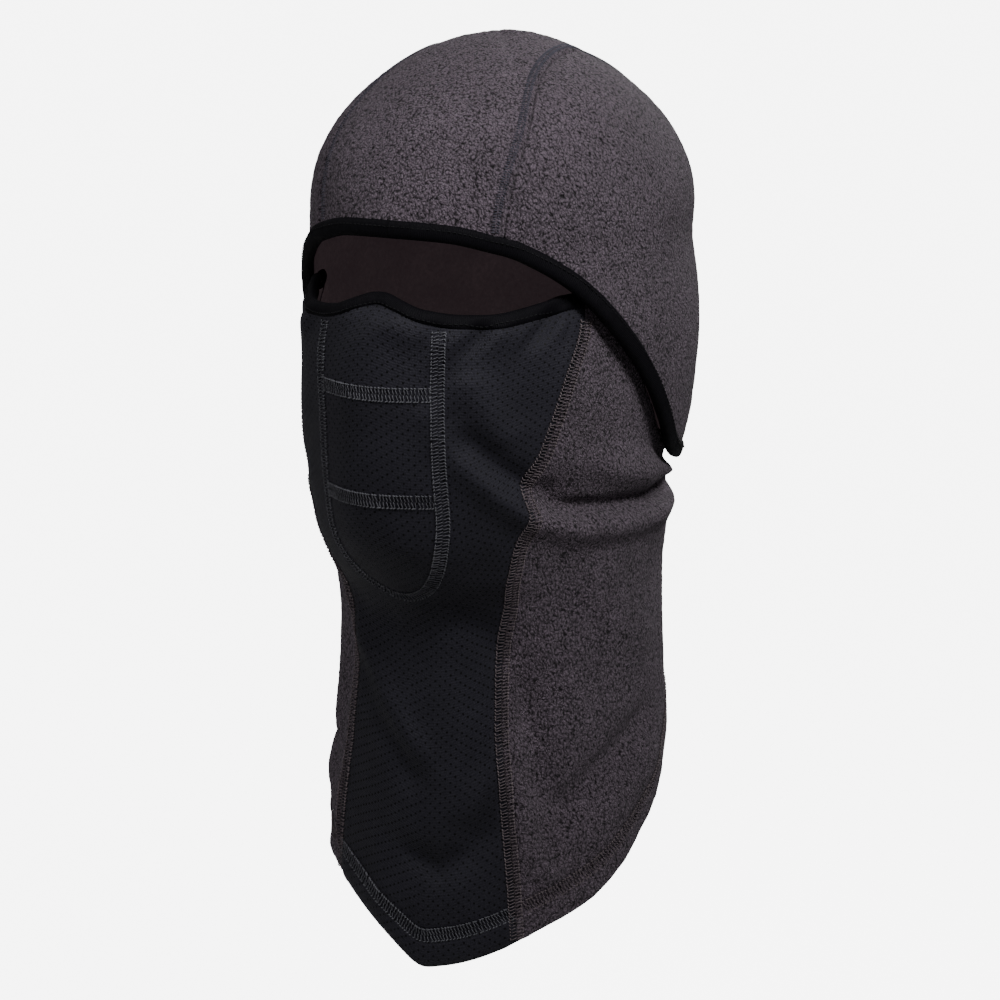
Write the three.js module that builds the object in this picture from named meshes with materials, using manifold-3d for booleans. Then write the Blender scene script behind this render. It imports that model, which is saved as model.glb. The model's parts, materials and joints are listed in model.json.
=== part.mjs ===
// A hinged ski balaclava in fleece: a three-panel cap with a bound edge, and a face mask with
// neck gaiter that is sewn into the cap at the nape and swings down from the eyes about that seam.
//
// Millimetres, +Z up. The wearer looks along -Y, and +X is the wearer's left. The origin is the
// middle of the head, level with its widest girth, where the upper half of the cap begins.
//
// Every piece of cloth is laid out on one of two surfaces of revolution-like sections: a place on
// them is [angle, height], where angle 0 is the front, a quarter turn is the wearer's left, and
// half a turn is the nape.

import * as THREE from "three";
import { mergeVertices } from "three/addons/utils/BufferGeometryUtils.js";
import Module from "manifold-3d";

const wasm = await Module();
wasm.setup();

// ---------------------------------------------------------------- driving sizes

// The head inside the cap, measured over the cloth at the widest girth.
const headHalfWidth = 82.5;
const headFront = 93;
const headBack = 104;
const crownHeight = 82;
const crownTaper = 1.12;

// The face and neck inside the gaiter, measured over the cloth.
const faceHalfWidth = 80;
const faceFront = 107;
const chinFront = 101;
const neckHalfWidth = 73;
const neckFront = 74;
const neckBack = 75;
const hemFlare = 3;
const mouthBulge = 8;
const mouthBulgeHalfWidth = 27;

// Heights of the landmarks, from the origin.
const browHeight = 1.5;
const bridgeHeight = -20;
const cheekDip = -28.5;
const templeHeight = -23;
const mouthHeight = -88;
const chinHeight = -127;
const throatHeight = -161;
const napeHeight = -114;
const hemFrontHeight = -326;
const hemSeamHeight = -304;
const hemSideHeight = -270;
const hemBackHeight = -214;

// Cloth, tape and thread.
const fleece = 2.4;
const maskCloth = 2.0;
const tape = 1.0;
const tapeWidth = 8;
const maskTapeWidth = 6;
const threadWidth = 6;
const topstitchWidth = 2.4;
const tapeStitchWidth = 1.6;
const threadHeight = 0.8;
const seamGap = 0.4;
const tapeGap = 0.8;
const threadGap = 0.6;
const underCapClearance = 1;

// The cut of the panels.
const crownPanelFrontHalf = 46.5;
const crownPanelTopHalf = 36;
const crownPanelNapeHalf = 42;
const patchTopHalf = 28;
const patchLowHalf = 29;
const patchRoundHeight = -112;
const patchBottomHeight = -157;
const upperCrossHeight = -61.5;
const lowerCrossHeight = -108;
const hemAllowance = 15.5;
const maskUnderCap = 9;
const temple = 55.5;
const maskTapeEnd = 62;
const labelWidth = 26;
const labelHeight = 34;
const labelCloth = 0.6;

// How finely the long seams are divided.
const seamRows = 28;

// ---------------------------------------------------------------- profiles

const rad = THREE.MathUtils.degToRad;
const lerp = THREE.MathUtils.lerp;

/** A smooth curve through [place, value] stations, level at both ends unless told otherwise. */
function profile(stations, level = true) {
  const at = stations.map((s) => s[0]);
  const value = stations.map((s) => s[1]);
  const last = at.length - 1;
  const slope = value.map((v, i) => {
    if (level && (i === 0 || i === last)) return 0;
    const [before, after] = [Math.max(i - 1, 0), Math.min(i + 1, last)];
    return (value[after] - value[before]) / (at[after] - at[before]);
  });
  return (x) => {
    const t = THREE.MathUtils.clamp(x, at[0], at[last]);
    let i = 0;
    while (i < last - 1 && t > at[i + 1]) i += 1;
    const h = at[i + 1] - at[i];
    const k = (t - at[i]) / h;
    const rise = k * k * (3 - 2 * k);
    const out = k * (1 - k) * (1 - k) * h * slope[i];
    const back = k * k * (1 - k) * h * slope[i + 1];
    return lerp(value[i], value[i + 1], rise) + out - back;
  };
}

/** The same on both sides of the face: a profile of the angle from the front, in degrees. */
function girth(stations) {
  const curve = profile(stations);
  return (angle) => curve(Math.abs(THREE.MathUtils.radToDeg(angle)));
}

/** Oval sections stacked in height: half width, front, back and the place of the widest line. */
function sections(stations) {
  const column = (k) => profile(stations.map((s) => [s[0], s[k]]));
  const [half, front, back, middle] = [1, 2, 3, 4].map(column);
  return (z) => ({ half: half(z), front: front(z), back: back(z), middle: middle(z) });
}

function ovalPoint(oval, angle, z, shrink = 0, narrow = 1) {
  const depth = Math.cos(angle) > 0 ? oval.front + oval.middle : oval.back - oval.middle;
  return new THREE.Vector3(
    (oval.half - shrink) * narrow * Math.sin(angle),
    oval.middle - (depth - shrink) * narrow * Math.cos(angle),
    z,
  );
}

// ---------------------------------------------------------------- edges and surfaces

// The folded lower edge of the cap's binding: over the brow, past the temples, to the nape.
const capEdge = girth([
  [0, browHeight],
  [18, browHeight - 1],
  [28, browHeight - 4],
  [39, browHeight - 9],
  [temple, templeHeight],
  [70, -47],
  [80, -67],
  [88, -85],
  [95, -98],
  [105, napeHeight + 8],
  [124, napeHeight + 3],
  [180, napeHeight],
]);

// The folded upper edge of the mask's binding, which is the eye opening's lower side. Past the
// temple it tucks under the cap and runs round to the nape.
const maskEdge = girth([
  [0, bridgeHeight],
  [16, cheekDip + 2],
  [34, cheekDip],
  [48, cheekDip + 3.5],
  [temple, templeHeight],
  [62, -24],
  [70, -35],
  [80, -55],
  [88, -73],
  [96, -88],
  [108, napeHeight + maskUnderCap + 9],
  [126, napeHeight + maskUnderCap + 3],
  [180, napeHeight + maskUnderCap],
]);

const hemEdge = girth([
  [0, hemFrontHeight],
  [7, hemFrontHeight + 3],
  [40, hemSeamHeight],
  [66, lerp(hemSeamHeight, hemSideHeight, 0.35)],
  [90, hemSideHeight],
  [108, lerp(hemSideHeight, hemBackHeight, 0.42)],
  [128, lerp(hemSideHeight, hemBackHeight, 0.72)],
  [180, hemBackHeight],
]);

const capSections = sections([
  [napeHeight - 18, headHalfWidth - 8, headFront + 4, headBack - 21, 2],
  [napeHeight + 30, headHalfWidth + 1.5, headFront + 7, headBack - 8, 2],
  [-45, headHalfWidth + 3.5, headFront + 7, headBack - 1, 2],
  [0, headHalfWidth, headFront, headBack, 0],
]);

const gaiterSections = sections([
  [hemFrontHeight - 20, neckHalfWidth + hemFlare, neckFront + hemFlare + 5, neckBack, 0],
  [-267, neckHalfWidth + hemFlare + 1, neckFront + hemFlare + 3, neckBack + 2, 0],
  [-219, neckHalfWidth + 2, neckFront + 3, neckBack + 2, 0],
  [-184, neckHalfWidth, neckFront, neckBack, 0],
  [throatHeight, neckHalfWidth, neckFront + 4, neckBack - 1, 1],
  [-146, neckHalfWidth + 1, lerp(neckFront, chinFront, 0.6), neckBack, 2],
  [chinHeight, faceHalfWidth - 4, chinFront, neckBack + 3, 2],
  [mouthHeight, faceHalfWidth - 1, faceFront, neckBack + 10, 2],
  [-54, faceHalfWidth, faceFront, headBack - 11, 2],
  [-25, faceHalfWidth, faceFront - 3, headBack - 6, 2],
  [10, faceHalfWidth - 2, headFront, headBack - 5, 2],
]);

const bulgeAt = profile([
  [throatHeight - 12, 0],
  [throatHeight, mouthBulge * 0.25],
  [chinHeight, mouthBulge],
  [mouthHeight, mouthBulge],
  [-54, mouthBulge * 0.85],
  [bridgeHeight, mouthBulge * 0.35],
  [10, 0],
]);

// Heights on the cap are latitudes: an arc on the crown, and a straight wall below the girth.
const heightOf = (latitude) => crownHeight * (latitude > 0 ? Math.sin(latitude) : latitude);
const latitudeOf = (z) => (z > 0 ? Math.asin(Math.min(1, z / crownHeight)) : z / crownHeight);

/** The cap's outside, at an angle round the head and a latitude. */
function capSurface(angle, latitude) {
  const z = heightOf(latitude);
  const narrow = Math.cos(Math.max(latitude, 0)) ** crownTaper;
  return ovalPoint(capSections(Math.min(z, 0)), angle, z, 0, narrow);
}

/** The place on the cap of a distance across the crown panel and a turn over the head. */
function crownPlace(x, turn) {
  const over = Math.max(turn - Math.PI, 0);
  const across = x / capSections(-crownHeight * over).half;
  const width = Math.sqrt(1 - across * across);
  if (over > 0) return [Math.PI - Math.asin(across), -over];
  if (turn < 0) return [Math.asin(across), turn * width];
  return [Math.atan2(across, Math.cos(turn) * width), Math.asin(Math.sin(turn) * width)];
}

/** The rise in height that leaves a distance to an edge, measured square to that edge. */
function squareTo(edge, angle, distance) {
  const step = 0.02;
  const slope = (edge(angle + step) - edge(angle - step)) / (2 * step * faceHalfWidth);
  return distance * Math.hypot(1, slope);
}

// How far the mask lies inside the cap's outside where the cap covers it.
const underCap = fleece + 2 * (tape + tapeGap) + underCapClearance;
const tuckRun = 34;

/** The outside of the mask and gaiter. It tucks inside the cap from just below the cap's edge. */
function gaiterSurface(angle, z) {
  const free = ovalPoint(gaiterSections(z), angle, z);
  if (Math.cos(angle) > 0) {
    free.y -= bulgeAt(z) * Math.exp(-((free.x / mouthBulgeHalfWidth) ** 2));
  }
  const tucked = ovalPoint(capSections(Math.min(z, 0)), angle, z, underCap);
  const share = THREE.MathUtils.smoothstep(z, capEdge(angle) - tuckRun, capEdge(angle));
  return free.lerp(tucked, share);
}

/** The angle on the gaiter at a distance x from the middle of its front. */
function gaiterAngle(x, z) {
  return Math.asin(THREE.MathUtils.clamp(x / gaiterSections(z).half, -1, 1));
}

// ---------------------------------------------------------------- closed solids

/** The outward normal of a surface at a place. */
function normalAt(surface, a, b, stepA = 1e-3, stepB = 1e-3) {
  const alongA = surface(a + stepA, b).sub(surface(a - stepA, b));
  const alongB = surface(a, b + stepB).sub(surface(a, b - stepB));
  return alongA.cross(alongB).normalize();
}

/** The place a distance away from another, in a direction that lies in the surface. */
function placeBeside(surface, [a, b], direction, distance) {
  const step = 1e-3;
  const alongA = surface(a + step, b).sub(surface(a - step, b)).divideScalar(2 * step);
  const alongB = surface(a, b + step).sub(surface(a, b - step)).divideScalar(2 * step);
  const [aa, ab, bb] = [alongA.dot(alongA), alongA.dot(alongB), alongB.dot(alongB)];
  const [da, db] = [alongA.dot(direction) * distance, alongB.dot(direction) * distance];
  const scale = aa * bb - ab * ab;
  return [a + (da * bb - db * ab) / scale, b + (db * aa - da * ab) / scale];
}

/** A geometry from rings of points: each ring joins the next, and flat fans close the ends. */
function loft(rings, closed = false) {
  const around = rings[0].length;
  const points = rings.flat();
  const index = [];
  const last = closed ? rings.length : rings.length - 1;
  for (let i = 0; i < last; i += 1) {
    const next = (i + 1) % rings.length;
    for (let j = 0; j < around; j += 1) {
      const k = (j + 1) % around;
      const [a, b] = [i * around + j, i * around + k];
      const [c, d] = [next * around + j, next * around + k];
      index.push(a, c, b, b, c, d);
    }
  }
  if (!closed) {
    const end = (rings.length - 1) * around;
    for (let j = 1; j < around - 1; j += 1) {
      index.push(0, j, j + 1, end, end + j + 1, end + j);
    }
  }
  return new THREE.BufferGeometry().setFromPoints(points).setIndex(index);
}

/**
 * A panel of cloth as a closed solid. Its four edges are curves of places on the surface; the
 * places between are blended from them, and the cloth's thickness lies inside the surface.
 */
function clothPanel(cut) {
  const { surface, top, bottom, start, end, along, down, thickness } = cut;
  const { depth = 0, spread = (v) => v } = cut;
  const corner = [start(0), end(0), start(1), end(1)];
  const place = (u, v) =>
    [0, 1].map((k) => {
      const ruled = lerp(top(u)[k], bottom(u)[k], v) + lerp(start(v)[k], end(v)[k], u);
      const flat = lerp(lerp(corner[0][k], corner[1][k], u), lerp(corner[2][k], corner[3][k], u), v);
      return ruled - flat;
    });
  const outside = [];
  const inside = [];
  for (let j = 0; j <= down; j += 1) {
    for (let i = 0; i <= along; i += 1) {
      const [a, b] = place(i / along, spread(j / down));
      const point = surface(a, b);
      const normal = normalAt(surface, a, b);
      outside.push(point.clone().addScaledVector(normal, -depth));
      inside.push(point.clone().addScaledVector(normal, -depth - thickness));
    }
  }
  const row = along + 1;
  const count = outside.length;
  const index = [];
  const quad = (a, b, c, d) => index.push(a, b, c, a, c, d);
  for (let j = 0; j < down; j += 1) {
    for (let i = 0; i < along; i += 1) {
      const a = j * row + i;
      quad(a, a + row, a + row + 1, a + 1);
      quad(count + a, count + a + 1, count + a + row + 1, count + a + row);
    }
  }
  for (let i = 0; i < along; i += 1) {
    const low = down * row + i;
    quad(i, i + 1, count + i + 1, count + i);
    quad(low, count + low, count + low + 1, low + 1);
  }
  for (let j = 0; j < down; j += 1) {
    const a = j * row;
    const b = a + along;
    quad(a, count + a, count + a + row, a + row);
    quad(b, b + row, count + b + row, count + b);
  }
  return new THREE.BufferGeometry().setFromPoints([...outside, ...inside]).setIndex(index);
}

/** Local directions along a run of places: the point, the outward normal and the way across. */
function runFrames(surface, places, closed) {
  const points = places.map(([a, b]) => surface(a, b));
  return points.map((point, i) => {
    const ahead = closed ? (i + 1) % points.length : Math.min(i + 1, points.length - 1);
    const behind = closed ? (i - 1 + points.length) % points.length : Math.max(i - 1, 0);
    const along = points[ahead].clone().sub(points[behind]).normalize();
    const normal = normalAt(surface, ...places[i]);
    const across = normal.clone().cross(along).normalize();
    return { point, normal, across };
  });
}

/** A run of stitching: a flat band of thread that lies on the cloth. */
function stitchRun(surface, places, closed = false, width = threadWidth, lift = threadGap) {
  const rings = runFrames(surface, places, closed).map(({ point, normal, across }) => {
    const at = (side, height) =>
      point.clone().addScaledVector(across, (side * width) / 2).addScaledVector(normal, height);
    const top = lift + threadHeight;
    return [at(-1, lift), at(-1, top), at(1, top), at(1, lift)];
  });
  return loft(rings, closed);
}

/**
 * A folded tape round an edge of cloth. The places are those of its fold; "into" is 1 where the
 * cloth lies to the left of the run as seen from outside, and -1 where it lies to the right.
 */
function foldedTape(surface, places, cloth, width, into, closed = false) {
  const face = tape + tapeGap;
  const rings = runFrames(surface, places, closed).map(({ point, normal, across }, i) => {
    const inner = placeBeside(surface, places[i], across, into * width);
    const innerPoint = surface(...inner);
    const innerNormal = normalAt(surface, ...inner);
    const at = (inward, height) =>
      inward === width
        ? innerPoint.clone().addScaledVector(innerNormal, height)
        : point.clone().addScaledVector(across, into * inward).addScaledVector(normal, height);
    const section = [
      at(width, face),
      at(tape, face),
      at(0, face - tape),
      at(0, tape - cloth - face),
      at(tape, -cloth - face),
      at(width, -cloth - face),
      at(width, tape - cloth - face),
      at(tape, tape - cloth - face),
      at(tape, tapeGap),
      at(width, tapeGap),
    ];
    return into > 0 ? section.reverse() : section;
  });
  return tapeLoft(rings, closed);
}

/** A loft whose ten-point folded section is closed at its ends by the quads of its four walls. */
function tapeLoft(rings, closed) {
  const geometry = loft(rings, true);
  if (closed) return geometry;
  const around = rings[0].length;
  const index = Array.from(geometry.index.array);
  const body = index.slice(0, (rings.length - 1) * around * 6);
  const last = (rings.length - 1) * around;
  const walls = [
    [0, 1, 8, 9],
    [1, 2, 7, 8],
    [2, 3, 6, 7],
    [3, 4, 5, 6],
  ];
  for (const [a, b, c, d] of walls) {
    body.push(a, b, c, a, c, d);
    body.push(last + a, last + c, last + b, last + a, last + d, last + c);
  }
  return geometry.setIndex(body);
}

/** Evenly spaced values from one to another, both included. */
function steps(from, to, count) {
  return Array.from({ length: count + 1 }, (_, i) => lerp(from, to, i / count));
}

/** Places spaced evenly by length along a run, which is a function of 0 to 1. */
function evenly(surface, run, count) {
  const fine = steps(0, 1, count * 8).map(run);
  const points = fine.map((place) => surface(...place));
  const travelled = [0];
  for (let i = 1; i < points.length; i += 1) {
    travelled.push(travelled[i - 1] + points[i].distanceTo(points[i - 1]));
  }
  return steps(0, travelled[fine.length - 1], count).map((length) => {
    const found = travelled.findIndex((far) => far >= length);
    const i = found < 0 ? fine.length - 1 : Math.max(found, 1);
    const k = (length - travelled[i - 1]) / (travelled[i] - travelled[i - 1]);
    return [0, 1].map((n) => lerp(fine[i - 1][n], fine[i][n], k));
  });
}

/** An angle brought to between minus half a turn and half a turn. */
const wrapped = (angle) => Math.atan2(Math.sin(angle), Math.cos(angle));

// ---------------------------------------------------------------- joining and cutting

function toSolid(geometry) {
  const bare = geometry.clone();
  for (const name of ["normal", "uv"]) bare.deleteAttribute(name);
  const merged = mergeVertices(bare, 1e-4);
  return new wasm.Manifold(
    new wasm.Mesh({
      numProp: 3,
      vertProperties: merged.attributes.position.array,
      triVerts: new Uint32Array(merged.index.array),
    }),
  );
}

function toGeometry(solid) {
  const mesh = solid.getMesh();
  return new THREE.BufferGeometry()
    .setAttribute("position", new THREE.BufferAttribute(Float32Array.from(mesh.vertProperties), 3))
    .setIndex(new THREE.BufferAttribute(Uint32Array.from(mesh.triVerts), 1));
}

/** The mask patch as a block through the front of the face, its outline grown by a margin. */
function patchBlock(margin, topHeight, bottomHeight) {
  const reach = chinFront + faceFront;
  const top = Math.min(topHeight, bridgeHeight + 30);
  const shape = new THREE.Shape();
  shape.moveTo(-patchTopHalf - margin, top);
  shape.lineTo(-patchLowHalf - margin, patchRoundHeight);
  shape.absellipse(
    0,
    patchRoundHeight,
    patchLowHalf + margin,
    patchRoundHeight - patchBottomHeight + margin,
    Math.PI,
    Math.PI * 2,
  );
  shape.lineTo(patchTopHalf + margin, top);
  const block = new THREE.ExtrudeGeometry(shape, {
    depth: reach,
    bevelEnabled: false,
    curveSegments: 12,
  });
  block.rotateX(Math.PI / 2);
  block.translate(0, -neckFront * 0.4, 0);
  const band = new THREE.BoxGeometry(faceHalfWidth * 2, reach * 3, topHeight - bottomHeight);
  band.translate(0, 0, (topHeight + bottomHeight) / 2);
  return toSolid(block).intersect(toSolid(band));
}

// ---------------------------------------------------------------- the cap's pieces

// Half the crown panel's width, by the turn over the head.
const crownHalf = profile([
  [0, crownPanelFrontHalf],
  [rad(40), crownPanelFrontHalf + 1],
  [rad(72), lerp(crownPanelFrontHalf, crownPanelTopHalf, 0.72)],
  [rad(98), crownPanelTopHalf],
  [rad(180), lerp(crownPanelTopHalf, crownPanelNapeHalf, 0.6)],
  [rad(180) - napeHeight / crownHeight, crownPanelNapeHalf],
]);

const capCut = (angle) => capEdge(angle) + squareTo(capEdge, angle, tape + tapeGap);

/** The turn at which the crown panel's cloth ends above the cap's folded edge, front or back. */
function crownEnd(x, atNape) {
  const angle = Math.asin(Math.abs(x) / (atNape ? capSections(napeHeight).half : headHalfWidth));
  const cut = capCut(atNape ? Math.PI - angle : angle);
  if (atNape) return Math.PI - cut / crownHeight;
  const width = Math.sqrt(1 - (x / headHalfWidth) ** 2);
  return Math.asin(cut / (crownHeight * width));
}

function crownPanel() {
  const front = crownEnd(crownPanelFrontHalf, false);
  const nape = crownEnd(crownPanelNapeHalf, true);
  const edge = (side) => (v) => {
    const turn = lerp(front, nape, v);
    return [side * (crownHalf(turn) - seamGap / 2), turn];
  };
  const end = (half, atNape) => (u) => {
    const x = lerp(-half, half, u);
    return [x, crownEnd(x, atNape)];
  };
  return clothPanel({
    surface: (x, turn) => capSurface(...crownPlace(x, turn)),
    top: end(crownPanelFrontHalf - seamGap / 2, false),
    bottom: end(crownPanelNapeHalf - seamGap / 2, true),
    start: edge(-1),
    end: edge(1),
    along: 10,
    down: 24,
    thickness: -fleece,
    depth: fleece,
  });
}

// The side panels are cut off square inside the tape, where they meet the crown panel's corners.
const cornerCut = 5;

function capSidePanel(side) {
  const front = crownEnd(crownPanelFrontHalf, false) + cornerCut / crownHeight;
  const nape = crownEnd(crownPanelNapeHalf, true) - cornerCut / crownHeight;
  const seam = (u) => {
    const turn = lerp(front, nape, u);
    return crownPlace(crownHalf(turn) + seamGap / 2, turn);
  };
  const ends = [
    Math.asin(crownPanelFrontHalf / headHalfWidth),
    Math.PI - Math.asin(crownPanelNapeHalf / capSections(napeHeight).half),
  ];
  const slack = cornerCut / headHalfWidth / 2;
  const hem = (u) => {
    const angle = lerp(ends[0] + slack, ends[1] - slack, u);
    return [angle, latitudeOf(capCut(angle))];
  };
  const turned = (edge) => (t) => {
    const [angle, latitude] = edge(side > 0 ? t : 1 - t);
    return [side * angle, latitude];
  };
  const rib = (u) => (v) => [0, 1].map((k) => lerp(turned(seam)(u)[k], turned(hem)(u)[k], v));
  return clothPanel({
    surface: capSurface,
    top: turned(seam),
    bottom: turned(hem),
    start: rib(0),
    end: rib(1),
    along: 22,
    down: 10,
    thickness: fleece,
  });
}

/** The cap's whole edge as places a distance in from its fold, in order round the head. */
function roundCapEdge(inward, count) {
  const run = (t) => {
    const angle = t * Math.PI * 2;
    const height = capEdge(wrapped(angle)) + squareTo(capEdge, wrapped(angle), inward);
    return [angle, latitudeOf(height)];
  };
  return evenly(capSurface, run, count).slice(0, -1);
}

function capBinding() {
  return foldedTape(capSurface, roundCapEdge(0, 64), fleece, tapeWidth, 1, true);
}

function capBindingStitch() {
  const places = roundCapEdge(tapeWidth * 0.62, 64);
  const lift = tape + tapeGap + threadGap;
  return stitchRun(capSurface, places, true, tapeStitchWidth, lift);
}

function crownSeamStitch(side) {
  const margin = (tapeWidth + topstitchWidth) / crownHeight;
  const front = crownEnd(crownPanelFrontHalf, false) + margin;
  const nape = crownEnd(crownPanelNapeHalf, true) - margin;
  const places = steps(front, nape, 36).map((turn) => {
    const [angle, latitude] = crownPlace(crownHalf(turn), turn);
    return [side * angle, latitude];
  });
  return stitchRun(capSurface, places, false, topstitchWidth);
}

function careLabel() {
  const halfAngle = labelWidth / 2 / capSections(napeHeight).half;
  const low = napeHeight + maskUnderCap + 2.5;
  const at = (u, v) => [
    Math.PI + lerp(-halfAngle, halfAngle, u),
    latitudeOf(lerp(low + labelHeight, low, v)),
  ];
  return clothPanel({
    surface: capSurface,
    top: (u) => at(u, 0),
    bottom: (u) => at(u, 1),
    start: (v) => at(0, v),
    end: (v) => at(1, v),
    along: 4,
    down: 5,
    thickness: labelCloth,
    depth: fleece + 2 * seamGap,
  });
}

/** The thread that sews the cap's bound edge to the top of the gaiter, across the nape. */
function napeJoinStitch() {
  const reach = rad(36);
  const places = steps(Math.PI - reach, Math.PI + reach, 14).map((angle) => [
    angle,
    latitudeOf(capEdge(wrapped(angle)) + tapeWidth * 0.3),
  ]);
  const lift = tape + tapeGap + threadGap;
  return stitchRun(capSurface, places, false, tapeStitchWidth, lift);
}

// ---------------------------------------------------------------- the mask and gaiter's pieces

// The seam between the black front and the fleece side: its distance from the middle.
const sideSeamX = profile([
  [hemSeamHeight - 8, 46.5],
  [-279, 45],
  [-243, 41.5],
  [-212, 38.5],
  [-182, 38],
  [throatHeight, 42],
  [-137, 50],
  [-118, 55.5],
  [-104, 56.5],
  [mouthHeight, 61.5],
  [-66, 66],
  [-34, 69.5],
]);

/** The place on the side seam at a height, shifted round by a distance. */
function sideSeamPlace(z, shift = 0) {
  const { half } = gaiterSections(z);
  return [gaiterAngle(sideSeamX(z), z) + shift / half, z];
}

const seamTopAngle = sideSeamPlace(templeHeight)[0];
const seamTop = maskEdge(seamTopAngle) - squareTo(maskEdge, seamTopAngle, tape + 2 * tapeGap);
const seamBottomAngle = sideSeamPlace(hemSeamHeight)[0];
const seamBottom = hemEdge(seamBottomAngle);

const maskCut = (angle) => maskEdge(angle) - squareTo(maskEdge, angle, tape + 2 * tapeGap);

/** A curve of places along an edge between two angles. */
const edgeRun = (height, from, to) => (u) => {
  const angle = lerp(from, to, u);
  return [angle, height(angle)];
};

// Rows of the gaiter lie closer together under the cap and at the throat, where the cloth turns.
const throatSpread = profile(
  [
    [0, 0],
    [0.12, 0.09],
    [0.32, 0.36],
    [0.56, 0.55],
    [1, 1],
  ],
  false,
);

function sideSeam(side, shift) {
  return (v) => {
    const [angle, z] = sideSeamPlace(lerp(seamTop, seamBottom, v), shift);
    return [side * angle, z];
  };
}

function wholeFacePanel() {
  const trim = seamGap / 2 / faceHalfWidth;
  const [topAngle, lowAngle] = [seamTopAngle - trim, seamBottomAngle - trim];
  return clothPanel({
    surface: gaiterSurface,
    top: edgeRun(maskCut, -topAngle, topAngle),
    bottom: edgeRun(hemEdge, -lowAngle, lowAngle),
    start: sideSeam(-1, -seamGap / 2),
    end: sideSeam(1, -seamGap / 2),
    along: 22,
    down: seamRows,
    spread: throatSpread,
    thickness: maskCloth,
  });
}

function gaiterSidePanel(side) {
  const trim = seamGap / 2 / faceHalfWidth;
  const backTrim = seamGap / 2 / neckHalfWidth;
  const back = Math.PI - backTrim;
  const backSeam = (v) => [side * back, lerp(maskCut(Math.PI), hemEdge(Math.PI), v)];
  const frontSeam = sideSeam(side, seamGap / 2);
  const top = edgeRun(maskCut, side * (seamTopAngle + trim), side * back);
  const bottom = edgeRun(hemEdge, side * (seamBottomAngle + trim), side * back);
  const flip = (edge) => (side > 0 ? edge : (u) => edge(1 - u));
  return clothPanel({
    surface: gaiterSurface,
    top: flip(top),
    bottom: flip(bottom),
    start: side > 0 ? frontSeam : backSeam,
    end: side > 0 ? backSeam : frontSeam,
    along: 13,
    down: seamRows,
    spread: throatSpread,
    thickness: fleece,
  });
}

function maskBinding() {
  const reach = rad(maskTapeEnd);
  const places = steps(-reach, reach, 48).map((angle) => [angle, maskEdge(angle)]);
  return foldedTape(gaiterSurface, places, fleece, maskTapeWidth, -1);
}

function maskBindingStitch() {
  const reach = rad(temple - 6);
  const places = steps(-reach, reach, 34).map((angle) => [
    angle,
    maskEdge(angle) - squareTo(maskEdge, angle, maskTapeWidth * 0.6),
  ]);
  const lift = tape + tapeGap + threadGap;
  return stitchRun(gaiterSurface, places, false, tapeStitchWidth, lift);
}

/** The stitching round the mask patch: down one side, round the chin and up the other. */
function patchOutlineStitch() {
  const top = cheekDip - maskTapeWidth - threadWidth / 2;
  const flank = (side) => (t) => {
    const z = lerp(top, patchRoundHeight, t);
    const rise = (z - patchRoundHeight) / (bridgeHeight + 30 - patchRoundHeight);
    return [side * lerp(patchLowHalf, patchTopHalf, rise), z];
  };
  const round = (t) => {
    const turn = Math.PI * (1 + t);
    const drop = patchRoundHeight - patchBottomHeight;
    return [patchLowHalf * Math.cos(turn), patchRoundHeight + drop * Math.sin(turn)];
  };
  const down = steps(0, 1, 12).map(flank(-1));
  const across = steps(0, 1, 20).slice(1, -1).map(round);
  const up = steps(1, 0, 12).map(flank(1));
  const places = [...down, ...across, ...up].map(([x, z]) => [gaiterAngle(x, z), z]);
  return stitchRun(gaiterSurface, places);
}

function crossStitch(z) {
  const half = patchTopHalf - threadWidth;
  const places = steps(-half, half, 10).map((x) => [gaiterAngle(x, z), z]);
  return stitchRun(gaiterSurface, places);
}

function sideSeamStitch(side) {
  const places = steps(0, 1, seamRows).map(throatSpread).map(sideSeam(side, 0));
  const below = seamTop - maskTapeWidth - threadWidth / 2;
  return stitchRun(
    gaiterSurface,
    places.filter(([, z]) => z < below),
  );
}

function backSeamStitch() {
  const top = napeHeight - threadWidth;
  const bottom = hemEdge(Math.PI) + hemAllowance + threadWidth;
  return stitchRun(gaiterSurface, steps(top, bottom, 16).map((z) => [Math.PI, z]));
}

function hemStitch(from, to, count) {
  const gap = threadWidth / neckHalfWidth;
  const places = steps(from + gap, to - gap, count).map((angle) => [
    angle,
    hemEdge(wrapped(angle)) + hemAllowance,
  ]);
  return stitchRun(gaiterSurface, places);
}

// ---------------------------------------------------------------- the object

const material = (color, roughness) =>
  new THREE.MeshStandardMaterial({ color, roughness, metalness: 0 });
const greyFleece = material(0x4a444c, 0.95);
const blackMask = material(0x1a1a1f, 0.75);
const blackTape = material(0x08080b, 0.6);
const greyThread = material(0x4c4b50, 0.7);
const blackThread = material(0x0d0d10, 0.7);
const whiteLabel = material(0xd8d6d0, 0.8);

const balaclava = new THREE.Group();
const cap = new THREE.Group();
const gaiter = new THREE.Group();
balaclava.add(cap, gaiter);

function add(group, name, geometry, look) {
  const mesh = new THREE.Mesh(geometry, look);
  mesh.name = name;
  group.add(mesh);
}

add(cap, "crown_panel", crownPanel(), greyFleece);
add(cap, "cap_binding", capBinding(), blackTape);
add(cap, "cap_binding_stitch", capBindingStitch(), blackThread);
add(cap, "nape_join_stitch", napeJoinStitch(), blackThread);
add(cap, "care_label", careLabel(), whiteLabel);

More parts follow.
